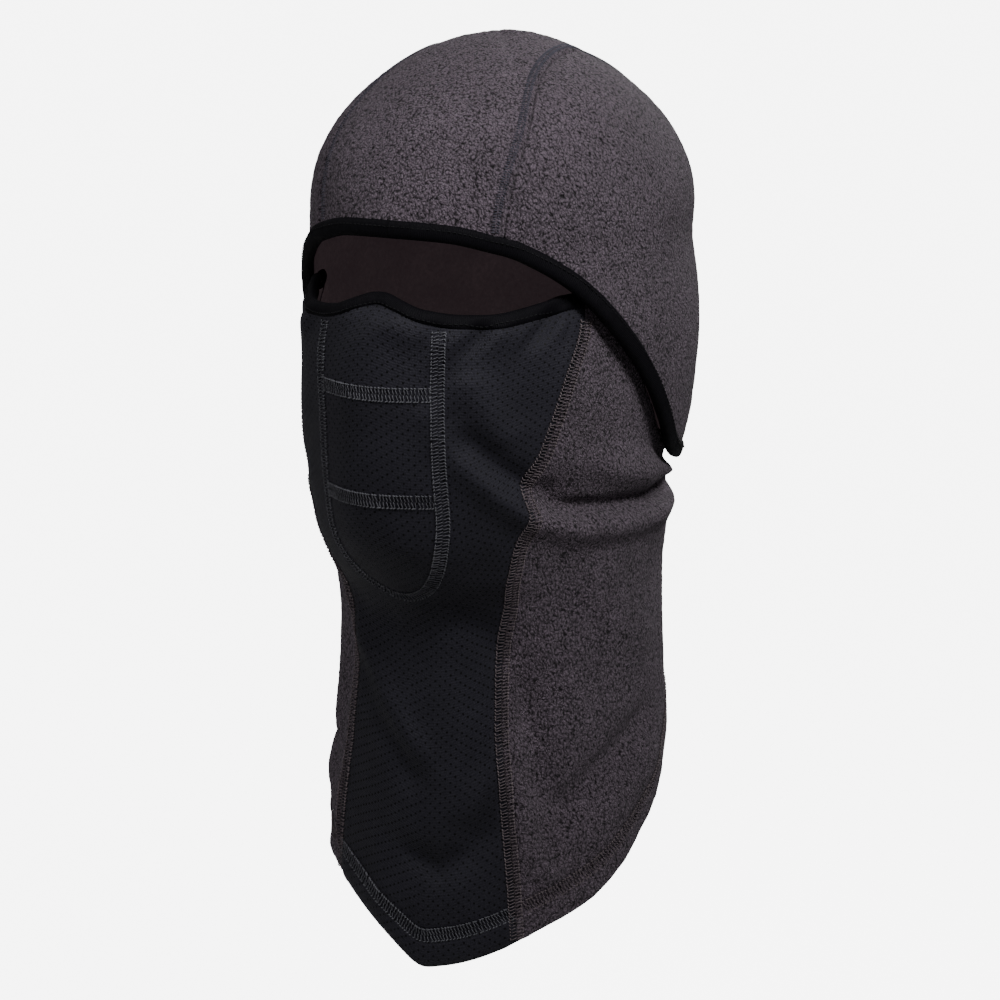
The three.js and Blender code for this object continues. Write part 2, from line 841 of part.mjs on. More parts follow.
const whole = toSolid(wholeFacePanel());
const half = seamGap / 2;
const above = bridgeHeight + 30;
const below = patchBottomHeight - 20;
const patchPiece = (top, bottom) => toGeometry(whole.intersect(patchBlock(-half, top, bottom)));
const bib = whole.subtract(patchBlock(half, above, below));
add(gaiter, "face_panel", toGeometry(bib), blackMask);
add(gaiter, "nose_panel", patchPiece(above, upperCrossHeight + half), blackMask);
add(gaiter, "mouth_panel", patchPiece(upperCrossHeight - half, lowerCrossHeight + half), blackMask);
add(gaiter, "chin_panel", patchPiece(lowerCrossHeight - half, below), blackMask);
add(gaiter, "mask_binding", maskBinding(), blackTape);
add(gaiter, "mask_binding_stitch", maskBindingStitch(), blackThread);
add(gaiter, "patch_outline_stitch", patchOutlineStitch(), greyThread);
add(gaiter, "upper_cross_stitch", crossStitch(upperCrossHeight), greyThread);
add(gaiter, "lower_cross_stitch", crossStitch(lowerCrossHeight), greyThread);
add(gaiter, "back_seam_stitch", backSeamStitch(), greyThread);
add(gaiter, "hem_stitch_front", hemStitch(-seamBottomAngle, seamBottomAngle, 16), greyThread);

for (const [side, word] of [
  [1, "left"],
  [-1, "right"],
]) {
  add(cap, `cap_side_panel_${word}`, capSidePanel(side), greyFleece);
  add(cap, `crown_seam_stitch_${word}`, crownSeamStitch(side), greyThread);
  add(gaiter, `gaiter_side_panel_${word}`, gaiterSidePanel(side), greyFleece);
  add(gaiter, `side_seam_stitch_${word}`, sideSeamStitch(side), greyThread);
  const [from, to] = [side * seamBottomAngle, side * Math.PI].sort((a, b) => a - b);
  add(gaiter, `hem_stitch_${word}`, hemStitch(from, to, 22), greyThread);
}

export default balaclava;
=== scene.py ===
"""A hinged fleece balaclava for the slopes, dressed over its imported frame.

The cap is three fleece panels with a taped edge. The mask and gaiter are a perforated black front
with a nose, mouth and chin patch, and two fleece sides. Lengths are in millimetres until a mesh is
made, and every size that the frame holds is read from it.
"""

import json
import logging
import math
from dataclasses import dataclass, field
from enum import Enum
from typing import Callable, Sequence

import bpy
import numpy as np
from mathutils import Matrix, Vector


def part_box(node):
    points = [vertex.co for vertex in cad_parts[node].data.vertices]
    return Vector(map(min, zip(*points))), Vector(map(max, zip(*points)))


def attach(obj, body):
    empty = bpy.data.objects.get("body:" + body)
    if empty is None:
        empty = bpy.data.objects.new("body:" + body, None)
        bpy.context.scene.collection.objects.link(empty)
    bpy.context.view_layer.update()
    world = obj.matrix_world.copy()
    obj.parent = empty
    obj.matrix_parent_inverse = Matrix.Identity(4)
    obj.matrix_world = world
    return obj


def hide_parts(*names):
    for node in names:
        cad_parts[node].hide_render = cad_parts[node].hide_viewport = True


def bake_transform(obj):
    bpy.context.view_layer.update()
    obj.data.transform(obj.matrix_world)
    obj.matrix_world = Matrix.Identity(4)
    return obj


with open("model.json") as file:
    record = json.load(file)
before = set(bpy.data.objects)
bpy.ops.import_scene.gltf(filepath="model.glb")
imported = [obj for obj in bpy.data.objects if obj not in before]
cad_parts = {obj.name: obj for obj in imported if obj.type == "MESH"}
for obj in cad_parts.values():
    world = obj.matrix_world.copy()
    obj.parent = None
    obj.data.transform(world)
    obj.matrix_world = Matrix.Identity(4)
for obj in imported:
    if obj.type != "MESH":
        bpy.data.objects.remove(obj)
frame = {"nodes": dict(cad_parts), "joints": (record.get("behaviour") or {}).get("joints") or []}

MM = 0.001
LOG = logging.getLogger("balaclava")
HEAD_RADIUS = 80.0  # turns an angle round the head into a distance along the cloth
FLEECE_NAP = 0.16  # height of the soft unevenness of the fleece, in millimetres

Array = np.ndarray
Places = np.ndarray
Object = bpy.types.Object
Mesh = bpy.types.Mesh
Material = bpy.types.Material
Node = bpy.types.Node
Socket = bpy.types.NodeSocket


# ---- curves and noise


class Profile:
    """A smooth curve through stations, level at both ends."""

    def __init__(self, stations: Sequence[tuple[float, float]]) -> None:
        """Stores the stations and works out the slope at each one.

        Args:
            stations: pairs of place and value, in rising order of place.
        """
        self.at = np.array([s[0] for s in stations], float)
        self.value = np.array([s[1] for s in stations], float)
        self.slope = np.zeros_like(self.value)
        rise = self.value[2:] - self.value[:-2]
        self.slope[1:-1] = rise / (self.at[2:] - self.at[:-2])

    def __call__(self, place: Array) -> Array:
        """Returns the curve's values at places, held at its ends outside them."""
        t = np.clip(np.asarray(place, float), self.at[0], self.at[-1])
        i = np.clip(np.searchsorted(self.at, t, side="right") - 1, 0, len(self.at) - 2)
        step = self.at[i + 1] - self.at[i]
        k = (t - self.at[i]) / step
        rise = k * k * (3 - 2 * k)
        ends = self.value[i] + (self.value[i + 1] - self.value[i]) * rise
        out = k * (1 - k) ** 2 * step * self.slope[i]
        back = k * k * (1 - k) * step * self.slope[i + 1]
        return ends + out - back


class Girth:
    """A profile of the angle round the head, alike on both sides."""

    def __init__(self, stations: Sequence[tuple[float, float]]) -> None:
        """Takes pairs of degrees from the front and height."""
        self.curve = Profile(stations)

    def __call__(self, angle: Array) -> Array:
        """Returns the height at angles in radians, wrapped to half a turn."""
        wrapped = np.arctan2(np.sin(angle), np.cos(angle))
        return self.curve(np.abs(np.degrees(wrapped)))

    def square_to(self, angle: Array, distance: float) -> Array:
        """Returns the rise in height that leaves a distance square to the edge.

        Args:
            angle: angles round the head.
            distance: the distance wanted.

        Returns:
            The rise at each angle.
        """
        step = 0.02
        slope = (self(angle + step) - self(angle - step)) / (2 * step * HEAD_RADIUS)
        return distance * np.hypot(1, slope)


def smooth(low: float, high: float, x: Array) -> Array:
    """Returns a smooth step from 0 at low to 1 at high."""
    k = np.clip((np.asarray(x, float) - low) / (high - low), 0, 1)
    return k * k * (3 - 2 * k)


def lattice(i: Array, j: Array, seed: int) -> Array:
    """Returns a repeatable value from 0 to 1 for each whole-numbered place.

    Args:
        i: numbers of the columns.
        j: numbers of the rows.
        seed: which set of values is wanted.

    Returns:
        The values.
    """
    n = (i.astype(np.int64) * 374761393 + j.astype(np.int64) * 668265263 + seed * 974634777)
    n = (n ^ (n >> 13)) * 1274126177
    return ((n ^ (n >> 16)) & 0xFFFF) / 0xFFFF


def value_noise(x: Array, y: Array, seed: int) -> Array:
    """Returns smooth noise from -1 to 1 with features about one unit across.

    Args:
        x: places across.
        y: places up.
        seed: which noise is wanted.

    Returns:
        The noise at each place.
    """
    i, j = np.floor(x), np.floor(y)
    u, v = x - i, y - j
    u, v = u * u * (3 - 2 * u), v * v * (3 - 2 * v)
    low = lattice(i, j, seed) * (1 - u) + lattice(i + 1, j, seed) * u
    high = lattice(i, j + 1, seed) * (1 - u) + lattice(i + 1, j + 1, seed) * u
    return (low * (1 - v) + high * v) * 2 - 1


# ---- the form of head and neck


def corners(node: str) -> tuple[Array, Array]:
    """Returns a CAD node's lowest and highest corners in millimetres."""
    low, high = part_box(node)
    return np.array(low) / MM, np.array(high) / MM


@dataclass
class HeadSizes:
    """The driving sizes, in millimetres, read from the frame's own pieces.

    Attributes:
        fleece: thickness of the fleece cloth.
        mask_cloth: thickness of the perforated cloth.
        under_cap: how far inside the cap's outside the mask lies where the cap covers it.
        tuck_run: the height over which the mask tucks in below the cap's edge.
        cap_flare: how much wider the cap is low down than at the top of its sides.
        brow_rise: how far the edge at the brow lies above the edge at the nape.
        face_ease: how far the plain mask stands out beyond the panel's box, on each side.
        cross_proud: how far the upper cross stitching stands before the plain mask.
        neck_step: how much narrower the neck is than the face, on each side.
        chin_step: how far the front of the neck lies behind the front of the face.
        cap_half, cap_front, cap_back: half the cap's width, and its reach forward and back.
        crown, nape, brow: heights of the cap's top and of its edge at the back and front.
        face_half, face_front: half the mask's width, and its reach forward.
        neck_half, neck_front: half the neck's width, and its reach forward.
        hem_front: the height of the hem's point.
    """

    fleece: float = 2.4
    mask_cloth: float = 2.0
    under_cap: float = 7.0
    tuck_run: float = 34.0
    cap_flare: float = 3.5
    brow_rise: float = 115.5
    face_ease: float = 2.3
    cross_proud: float = 9.4
    neck_step: float = 7.0
    chin_step: float = 33.0
    cap_half: float = field(init=False)
    cap_front: float = field(init=False)
    cap_back: float = field(init=False)
    crown: float = field(init=False)
    nape: float = field(init=False)
    brow: float = field(init=False)
    face_half: float = field(init=False)
    face_front: float = field(init=False)
    neck_half: float = field(init=False)
    neck_front: float = field(init=False)
    hem_front: float = field(init=False)

    def __post_init__(self) -> None:
        """Reads the sizes from the CAD nodes' boxes."""
        _, side_high = corners("cap_side_panel_left")
        crown_low, crown_high = corners("crown_panel")
        tape_low, _ = corners("cap_binding")
        stitch_low, _ = corners("upper_cross_stitch")
        face_low, _ = corners("face_panel")
        _, gaiter_high = corners("gaiter_side_panel_left")
        self.cap_half = side_high[0] - self.cap_flare
        self.cap_front = -crown_low[1]
        self.cap_back = crown_high[1]
        self.crown = crown_high[2]
        self.nape = tape_low[2]
        self.brow = self.nape + self.brow_rise
        self.face_half = gaiter_high[0] + self.face_ease
        self.face_front = -stitch_low[1] - self.cross_proud
        self.neck_half = self.face_half - self.neck_step
        self.neck_front = self.face_front - self.chin_step
        self.hem_front = face_low[2]


SIZES = HeadSizes()
BULGE_HALF = 27.0  # half width of the swell over the nose and mouth, in millimetres
TAPER = 1.12  # how soon the crown draws in, where 1 is a plain oval dome


class Sections:
    """Oval sections stacked in height: half width, front, back and the widest line's place."""

    def __init__(self, stations: Sequence[tuple[float, ...]]) -> None:
        """Takes rows of height, half width, front, back and middle."""
        columns = [[(s[0], s[k]) for s in stations] for k in (1, 2, 3, 4)]
        self.half, self.front, self.back, self.middle = (Profile(c) for c in columns)

    def points(self, angle: Array, z: Array, inset: float = 0.0, narrow: Array | float = 1.0) -> Array:
        """Returns points on the ovals, drawn in towards the middle.

        Args:
            angle: angles round the head.
            z: heights.
            inset: how far the points lie inside the ovals.
            narrow: the share of the oval's size that is left at each place.

        Returns:
            The points.
        """
        middle = self.middle(z)
        toward = np.cos(angle) > 0
        depth = np.where(toward, self.front(z) + middle, self.back(z) - middle) - inset
        x = (self.half(z) - inset) * narrow * np.sin(angle)
        y = middle - depth * narrow * np.cos(angle)
        return np.stack(np.broadcast_arrays(x, y, z), -1)


class CapForm:
    """The outside of the cap. A place is an angle round the head and a latitude."""

    def __init__(self, s: HeadSizes) -> None:
        """Lays the sections and the edge of the cap from the sizes."""
        self.s = s
        self.sections = Sections(
            [
                (s.nape - 18, s.cap_half - 8, s.cap_front + 4, s.cap_back - 21, 2),
                (s.nape + 30, s.cap_half + 1.5, s.cap_front + 7, s.cap_back - 8, 2),
                (-45, s.cap_half + 3.5, s.cap_front + 7, s.cap_back - 1, 2),
                (0, s.cap_half, s.cap_front, s.cap_back, 0),
            ]
        )
        self.edge = Girth(
            [
                (0, s.brow), (18, s.brow - 1), (28, s.brow - 4), (39, s.brow - 9), (55.5, -23),
                (70, -47), (80, -67), (88, -85), (95, -98), (105, s.nape + 8), (124, s.nape + 3),
                (180, s.nape),
            ]
        )

    def height(self, latitude: Array) -> Array:
        """Returns the height of a latitude: an arc on the crown and straight below it."""
        return self.s.crown * np.where(latitude > 0, np.sin(latitude), latitude)

    def latitude(self, z: Array) -> Array:
        """Returns the latitude of a height."""
        share = np.asarray(z, float) / self.s.crown
        return np.where(share > 0, np.arcsin(np.clip(share, -1, 1)), share)

    def base(self, places: Places) -> Array:
        """Returns points of the plain form.

        Args:
            places: angles and latitudes.

        Returns:
            The points.
        """
        angle, latitude = places[..., 0], places[..., 1]
        narrow = np.abs(np.cos(np.maximum(latitude, 0))) ** TAPER
        z = self.height(latitude)
        points = self.sections.points(angle, np.minimum(z, 0), narrow=narrow)
        points[..., 2] = z
        return points

    def relief(self, places: Places) -> Array:
        """Returns how far the worn cloth stands off the plain form: soft dents and swells.

        Args:
            places: angles and latitudes.

        Returns:
            The distance outwards at each place.
        """
        angle, z = places[..., 0], self.height(places[..., 1])
        across = angle * HEAD_RADIUS
        swell = 0.9 * value_noise(across / 46, z / 38, 11) + 0.5 * value_noise(across / 21, z / 24, 5)
        dent = 1.8 * np.exp(-(((np.degrees(angle) - 112) / 26) ** 2) - ((z + 12) / 13) ** 2)
        fade = smooth(0, 14, z - self.edge(angle))
        return (swell - dent) * fade

    def crown_place(self, x: Array, turn: Array) -> Places:
        """Returns places on the crown panel.

        Args:
            x: distances across it from its middle.
            turn: turns over the head, from the front at nought to the back at half a turn.

        Returns:
            The places.
        """
        over = np.maximum(turn - math.pi, 0)
        across = x / self.sections.half(-self.s.crown * over)
        width = np.sqrt(1 - across * across)
        angle = np.arctan2(across, np.cos(np.clip(turn, 0, math.pi)) * width)
        lift = np.arcsin(np.clip(np.sin(np.clip(turn, 0, math.pi)) * width, -1, 1))
        latitude = np.where(turn < 0, turn * width, np.where(over > 0, -over, lift))
        return np.stack([angle, latitude], -1)


class GaiterForm:
    """The outside of the mask and gaiter. A place is an angle round the neck and a height."""

    def __init__(self, s: HeadSizes, cap: CapForm) -> None:
        """Lays the sections, the edges and the folds from the sizes."""
        self.s = s
        self.cap = cap
        throat, chin, mouth, bridge = -161, -127, -88, -20
        neck, front = s.neck_half, s.neck_front
        back = front + 1
        chin_front = s.face_front - 6
        self.sections = Sections(
            [
                (s.hem_front - 20, neck + 3, front + 8, back, 0),
                (-267, neck + 4, front + 6, back + 2, 0), (-219, neck + 2, front + 3, back + 2, 0),
                (-184, neck, front, back, 0), (throat, neck, front + 4, back - 1, 1),
                (-146, neck + 1, front + 0.6 * (chin_front - front), back, 2),
                (chin, s.face_half - 4, chin_front, back + 3, 2),
                (mouth, s.face_half - 1, s.face_front, back + 10, 2),
                (-54, s.face_half, s.face_front, s.cap_back - 11, 2),
                (-25, s.face_half, s.face_front - 3, s.cap_back - 6, 2),
                (10, s.face_half - 2, s.cap_front, s.cap_back - 5, 2),
            ]
        )
        self.bulge = Profile(
            [(throat - 12, 0), (throat, 2), (chin, 8), (mouth, 8), (-54, 6.8), (bridge, 2.8), (10, 0)]
        )
        dip = bridge - 8.5
        self.edge = Girth(
            [
                (0, bridge), (16, dip + 2), (34, dip), (48, dip + 3.5), (55.5, -23), (62, -24),
                (70, -35), (80, -55), (88, -73), (96, -88), (108, s.nape + 18), (126, s.nape + 12),
                (180, s.nape + 9),
            ]
        )
        tip = s.hem_front
        self.hem = Girth(
            [
                (0, tip), (7, tip + 3), (40, tip + 22), (66, tip + 33.9), (90, tip + 56),
                (108, tip + 79.5), (128, tip + 96.3), (180, tip + 112),
            ]
        )
        self.seam_x = Profile(
            [
                (tip + 14, 46.5), (tip + 47, 45), (-243, 41.5), (-212, 38.5), (-182, 38),
                (throat, 42), (-137, 50), (-118, 55.5), (-104, 56.5), (mouth, 61.5), (-66, 66),
                (-34, 69.5),
            ]
        )
        self.folds = worn_folds()

    def hem_height(self, angle: Array) -> Array:
        """Returns the hem's height, which hangs a little lower on the wearer's left.

        Args:
            angle: angles round the neck.

        Returns:
            The height at each angle.
        """
        wrapped = np.arctan2(np.sin(angle), np.cos(angle))
        front = np.where(np.cos(wrapped) > 0, np.cos(wrapped), 0) ** 2
        turned = wrapped - math.radians(4) * front
        return self.hem(turned) - 19 * np.sin(wrapped) * front

    def base(self, places: Places) -> Array:
        """Returns points of the plain form, tucked in under the cap.

        Args:
            places: angles and heights.

        Returns:
            The points.
        """
        angle, z = places[..., 0], places[..., 1]
        free = self.sections.points(angle, z)
        bump = self.bulge(z) * np.exp(-((free[..., 0] / BULGE_HALF) ** 2))
        free[..., 1] -= np.where(np.cos(angle) > 0, bump, 0)
        tucked = self.cap.sections.points(angle, np.minimum(z, 0), self.s.under_cap)
        tucked[..., 2] = z
        edge = self.cap.edge(angle)
        share = smooth(0, self.s.tuck_run, z - edge + self.s.tuck_run)[..., None]
        return free * (1 - share) + tucked * share

    def relief(self, places: Places) -> Array:
        """Returns how far the worn cloth stands off the plain form: swells, folds and puckers.

        Args:
            places: angles and heights.

        Returns:
            The distance outwards at each place.
        """
        angle, z = places[..., 0], places[..., 1]
        wrapped = np.arctan2(np.sin(angle), np.cos(angle))
        across = wrapped * self.s.neck_half
        swell = 1.0 * value_noise(across / 30, z / 42, 3) + 0.45 * value_noise(across / 14, z / 19, 8)
        total = swell.copy()
        for fold in self.folds:
            total += fold.lift(np.degrees(wrapped), z, self.s.neck_half)
        below = self.edge(angle) - z
        lean = across + 0.5 * below
        pucker = value_noise(lean / 7.5, below / 60 + 3, 17) * np.exp(-(((below - 10) / 8) ** 2))
        total = total * smooth(2, -6, z - self.cap.edge(angle)) * smooth(0, 14, below)
        return total + 3.0 * pucker * (np.abs(wrapped) < math.radians(54))

    def seam_angle(self, z: Array) -> Array:
        """Returns the angle of the seam between the black front and the fleece side."""
        return np.arcsin(self.seam_x(z) / self.sections.half(z))

    def angle_at(self, x: Array, z: Array) -> Array:
        """Returns the angle at a distance from the middle of the front."""
        return np.arcsin(np.clip(x / self.sections.half(z), -1, 1))


@dataclass(frozen=True)
class Fold:
    """A ridge or a valley that lies along a line of the worn cloth.

    Attributes:
        line: pairs of degrees from the front and height that the fold follows.
        width: half its width across, in millimetres.
        height: how far it stands out, or in where it is below nought.
    """

    line: tuple[tuple[float, float], ...]
    width: float
    height: float

    def lift(self, degrees: Array, z: Array, radius: float) -> Array:
        """Returns the fold's height at places.

        Args:
            degrees: angles from the front.
            z: heights.
            radius: the neck's radius, which turns an angle into a distance.

        Returns:
            The distance outwards at each place.
        """
        scale = math.radians(1) * radius
        px, py = degrees * scale, z
        best = np.full(np.shape(px), 1e9)
        along = np.zeros(np.shape(px))
        points = [(a * scale, h) for a, h in self.line]
        count = len(points) - 1
        for i, ((ax, ay), (bx, by)) in enumerate(zip(points, points[1:])):
            dx, dy = bx - ax, by - ay
            t = np.clip(((px - ax) * dx + (py - ay) * dy) / (dx * dx + dy * dy), 0, 1)
            far = np.hypot(px - ax - t * dx, py - ay - t * dy)
            nearer = far < best
            best = np.where(nearer, far, best)
            along = np.where(nearer, (i + t) / count, along)
        taper = smooth(0, 0.22, along) * smooth(0, 0.22, 1 - along)
        return self.height * np.exp(-((best / self.width) ** 2)) * (0.25 + 0.75 * taper)

    def mirrored(self, shift: float, share: float) -> "Fold":
        """Returns the same fold on the other side, moved in height and weakened."""
        line = tuple((-a, z + shift) for a, z in self.line)
        return Fold(line, self.width, self.height * share)


def worn_folds() -> list[Fold]:
    """Returns the folds that a neck and jaw leave in the gaiter."""
    jaw_crease = ((46, -111), (58, -116), (77, -119), (95, -120.5), (110, -121), (124, -121.5))
    cheek = ((20, -72), (28, -88), (38, -106), (48, -118))
    jaw_ridge = (*cheek, (60, -125), (80, -128), (122, -127), (146, -128))
    left = [
        Fold(jaw_crease, 3.9, -5.9),
        Fold(jaw_ridge, 7.0, 6.0),
        Fold(((58, -92), (76, -103), (98, -110), (120, -113.5), (148, -116)), 7.2, 6.0),
        Fold(((24, -74), (34, -92), (46, -106), (60, -112)), 6.5, -5.5),
        Fold(((26, -50), (34, -70), (41, -88)), 7, 2.6),
        Fold(((88, -120), (114, -118)), 2.4, -2.4),
        Fold(((62, -140), (78, -170), (98, -196)), 15, 3.2),
        Fold(((36, -186), (43, -226), (48, -260)), 8, -4.4),
        Fold(((46, -262), (60, -244), (80, -228), (100, -216)), 7, -4.6),
        Fold(((36, -240), (40, -270), (50, -292)), 6, 2.6),
        Fold(((56, -272), (78, -252), (100, -232)), 9, 3.0),
    ]
    front = [
        Fold(((-34, -168), (-14, -206), (9, -238)), 7, 3.6),
        Fold(((-28, -184), (-8, -220), (6, -250)), 8, -2.6),
        Fold(((10, -160), (26, -172), (38, -190)), 9, -2.2),
        Fold(((-8, -270), (10, -281), (20, -273), (30, -250)), 7, -3.6),
        Fold(((14, -262), (28, -240), (36, -222)), 7, 2.2),
        Fold(((-20, -290), (4, -300), (24, -292)), 9, 1.4),
    ]
    shifts = (4, 3, -3, 2, 4, 5, -6, 8, 3, -4, 5)
    shares = (0.5, 0.15, 0.5, 0.1, 0.4, 0.5, 0.8, 0.7, 0.6, 0.7, 0.8)
    right = [fold.mirrored(shift, share) for fold, shift, share in zip(left, shifts, shares)]
    return left + front + right


# ---- cloth surfaces


class Cloth:
    """A worn surface that pieces are laid on: a form with its relief."""

    def __init__(self, form: CapForm | GaiterForm) -> None:
        """Takes the form that the cloth lies over."""
        self.form = form
        self.span = (1e-3, 1e-3 if isinstance(form, CapForm) else 0.05)

    def plain_normal(self, places: Places) -> Array:
        """Returns outward normals of the plain form."""
        return self.normal_of(self.form.base, places, self.span)

    @staticmethod
    def normal_of(
        surface: Callable[[Places], Array], places: Places, span: tuple[float, float]
    ) -> Array:
        """Returns outward normals of a surface at places.

        Args:
            surface: what gives a point for each place.
            places: where the normals are wanted.
            span: how far to each side of a place the surface is read.

        Returns:
            The normals, one unit long.
        """
        da, db = np.array([span[0], 0]), np.array([0, span[1]])
        along = surface(places + da) - surface(places - da)
        up = surface(places + db) - surface(places - db)
        normal = np.cross(along, up)
        return normal / np.linalg.norm(normal, axis=-1, keepdims=True)

    def point(self, places: Places) -> Array:
        """Returns points of the worn cloth's outside."""
        lift = self.form.relief(places)[..., None]
        return self.form.base(places) + self.plain_normal(places) * lift

    def normal(self, places: Places) -> Array:
        """Returns outward normals of the worn cloth."""
        return self.normal_of(self.point, places, (0.01, self.span[1] * 10))


CAP_FORM = CapForm(SIZES)
GAITER_FORM = GaiterForm(SIZES, CAP_FORM)
CAP_CLOTH = Cloth(CAP_FORM)
GAITER_CLOTH = Cloth(GAITER_FORM)


# ---- finishes


Colour = tuple[float, float, float]


def linear(red: int, green: int, blue: int) -> Colour:
    """Returns a screen colour, from 0 to 255, as linear light."""

    def one(c: int) -> float:
        """Returns one channel as linear light."""
        s = c / 255
        return s / 12.92 if s <= 0.04045 else ((s + 0.055) / 1.055) ** 2.4

    return one(red), one(green), one(blue)


class Graph:
    """A short way to write a shader's nodes."""

    def __init__(self, name: str) -> None:
        """Makes an empty material of that name with its output and main shader."""
        self.material = bpy.data.materials.new(name)
        self.material.use_nodes = True
        self.tree = self.material.node_tree
        self.tree.nodes.clear()
        self.output = self.tree.nodes.new("ShaderNodeOutputMaterial")
        self.shader = self.tree.nodes.new("ShaderNodeBsdfPrincipled")
        self.tree.links.new(self.shader.outputs[0], self.output.inputs["Surface"])

    def node(self, kind: str, inputs: dict | None = None, **settings: object) -> Node:
        """Adds a node.

        Args:
            kind: the node's type, without the word that every shader node starts with.
            inputs: values or sockets by the input's name or number.
            settings: attributes set on the node itself.

        Returns:
            The node.
        """
        made = self.tree.nodes.new("ShaderNode" + kind)
        for name, value in settings.items():
            setattr(made, name, value)
        for name, value in (inputs or {}).items():
            self.put(made.inputs[name], value)
        return made

    def put(self, socket: Socket, value: object) -> None:
        """Links a socket to another, or sets its value."""
        if isinstance(value, Socket):
            self.tree.links.new(value, socket)
        elif isinstance(value, tuple) and len(value) == 3 and socket.type == "RGBA":
            socket.default_value = (*value, 1.0)
        else:
            socket.default_value = value

    def uv(self) -> Socket:
        """Returns the cloth's own coordinates, in millimetres along and across it."""
        return self.node("UVMap", uv_map="cloth").outputs[0]

    def math(self, operation: str, a: object, b: object = 0.0) -> Socket:
        """Returns the result of a sum on two values."""
        return self.node("Math", {0: a, 1: b}, operation=operation).outputs[0]

    def mix(self, share: object, a: object, b: object) -> Socket:
        """Returns two colours mixed by a share."""
        return self.node("Mix", {0: share, 6: a, 7: b}, data_type="RGBA").outputs[2]

    def noise(self, vector: object, scale: float, detail: float = 2.0) -> Socket:
        """Returns a noise value."""
        made = self.node("TexNoise", {"Vector": vector, "Scale": scale, "Detail": detail})
        return made.outputs[0]

    def span(self, value: object, stops: Sequence[tuple[float, Colour]]) -> Socket:
        """Returns colours spread over a value.

        Args:
            value: the value that picks the colour.
            stops: pairs of a place from 0 to 1 and its colour.

        Returns:
            The colour's socket.
        """
        ramp = self.node("ValToRGB", {0: value})
        elements = ramp.color_ramp.elements
        while len(elements) < len(stops):
            elements.new(0.5)
        for element, (place, colour) in zip(elements, stops):
            element.position = place
            element.color = (*colour, 1.0)
        return ramp.outputs[0]

    def scaled(self, vector: object, scale: Colour, turn: float = 0.0) -> Socket:
        """Returns a vector scaled and turned about its third axis."""
        inputs = {"Vector": vector, "Rotation": (0, 0, turn), "Scale": scale}
        return self.node("Mapping", inputs).outputs[0]

    def finish(
        self,
        colour: object,
        roughness: float,
        sheen: float,
        height: object,
        depth: float,
        gloss: float = 0.25,
    ) -> Material:
        """Joins the results to the shader.

        Args:
            colour: the base colour.
            roughness: how matt the surface is.
            sheen: weight of the soft edge light that fibres give.
            height: the relief's value, or None.
            depth: the relief's depth in millimetres.
            gloss: strength of the mirror-like part of its light.

        Returns:
            The finished material.
        """
        self.put(self.shader.inputs["Base Color"], colour)
        self.shader.inputs["Roughness"].default_value = roughness
        self.shader.inputs["Sheen Weight"].default_value = sheen
        self.shader.inputs["Sheen Roughness"].default_value = 0.45
        self.shader.inputs["Specular IOR Level"].default_value = gloss
        if height is not None:
            inputs = {"Strength": 1.0, "Distance": depth * MM, "Height": height}
            bump = self.node("Bump", inputs)
            self.put(self.shader.inputs["Normal"], bump.outputs[0])
        return self.material


@dataclass(frozen=True)
class FleeceFinish:
    """Napped fleece: small pebbles of fibre, with painted shade darkening the gaps between them.

    Attributes:
        tip: colour of the pebbles' tips.
        gap: colour between them, painted shade for the recesses of the nap.
        long: a pebble's length in millimetres.
        wide: a pebble's width in millimetres.
        lean: the turn of the nap, in radians.
        depth: the relief of the nap in millimetres.
        sheen: weight of the soft edge light of its fibres.
    """

    tip: Colour
    gap: Colour
    long: float = 1.3
    wide: float = 0.95
    lean: Colour = (0.5, 0.25, 0.4)
    depth: float = 1.3
    sheen: float = 0.05

    def cell(self) -> Colour:
        """Returns the scale that gives a pebble's size."""
        return 1 / self.wide, 1 / self.wide, 1 / self.long

    def build(self, name: str) -> Material:
        """Returns the material."""
        g = Graph(name)
        rest = g.node("Attribute", attribute_name="rest").outputs["Vector"]
        drift = g.node("TexNoise", {"Vector": rest, "Scale": 0.3, "Detail": 2.0}).outputs["Color"]
        pull = g.node("VectorMath", {0: drift, 1: (0.5, 0.5, 0.5)}, operation="SUBTRACT").outputs[0]
        far = g.node("VectorMath", {0: pull, "Scale": 3.0}, operation="SCALE").outputs[0]
        moved = g.node("VectorMath", {0: rest, 1: far}, operation="ADD").outputs[0]
        turned = {"Vector": moved, "Rotation": self.lean, "Scale": self.cell()}
        cell = g.node("Mapping", turned).outputs[0]
        cells = g.node("TexVoronoi", {"Vector": cell, "Scale": 1.0, "Randomness": 1.0})
        spot = cells.outputs["Distance"]
        curl = g.noise(g.scaled(moved, (1.3, 1.3, 1.0)), 1.0, 2.0)
        fibre = g.noise(g.scaled(moved, (3.0, 3.0, 2.3)), 1.0, 2.0)
        bulk = g.math("ADD", g.math("MULTIPLY", curl, 0.55), g.math("MULTIPLY", fibre, 0.55))
        rough = g.math("SUBTRACT", g.math("ADD", bulk, 0.35), g.math("MULTIPLY", spot, 0.95))
        mid = tuple((t * 0.45 + d * 0.55) for t, d in zip(self.tip, self.gap))
        # painted shade: colour follows the nap's height, from the fleece's tone on the tips down to
        # dark in the gaps
        shade = g.span(rough, [(0.05, self.gap), (0.36, mid), (0.72, self.tip)])
        cloudy = g.noise(rest, 0.035, 2.0)
        worn = g.math("ADD", g.math("MULTIPLY", cloudy, 0.5), 0.75)
        tinted = g.node("VectorMath", {0: shade, "Scale": worn}, operation="SCALE").outputs[0]
        return g.finish(tinted, 0.92, self.sheen, rough, self.depth)


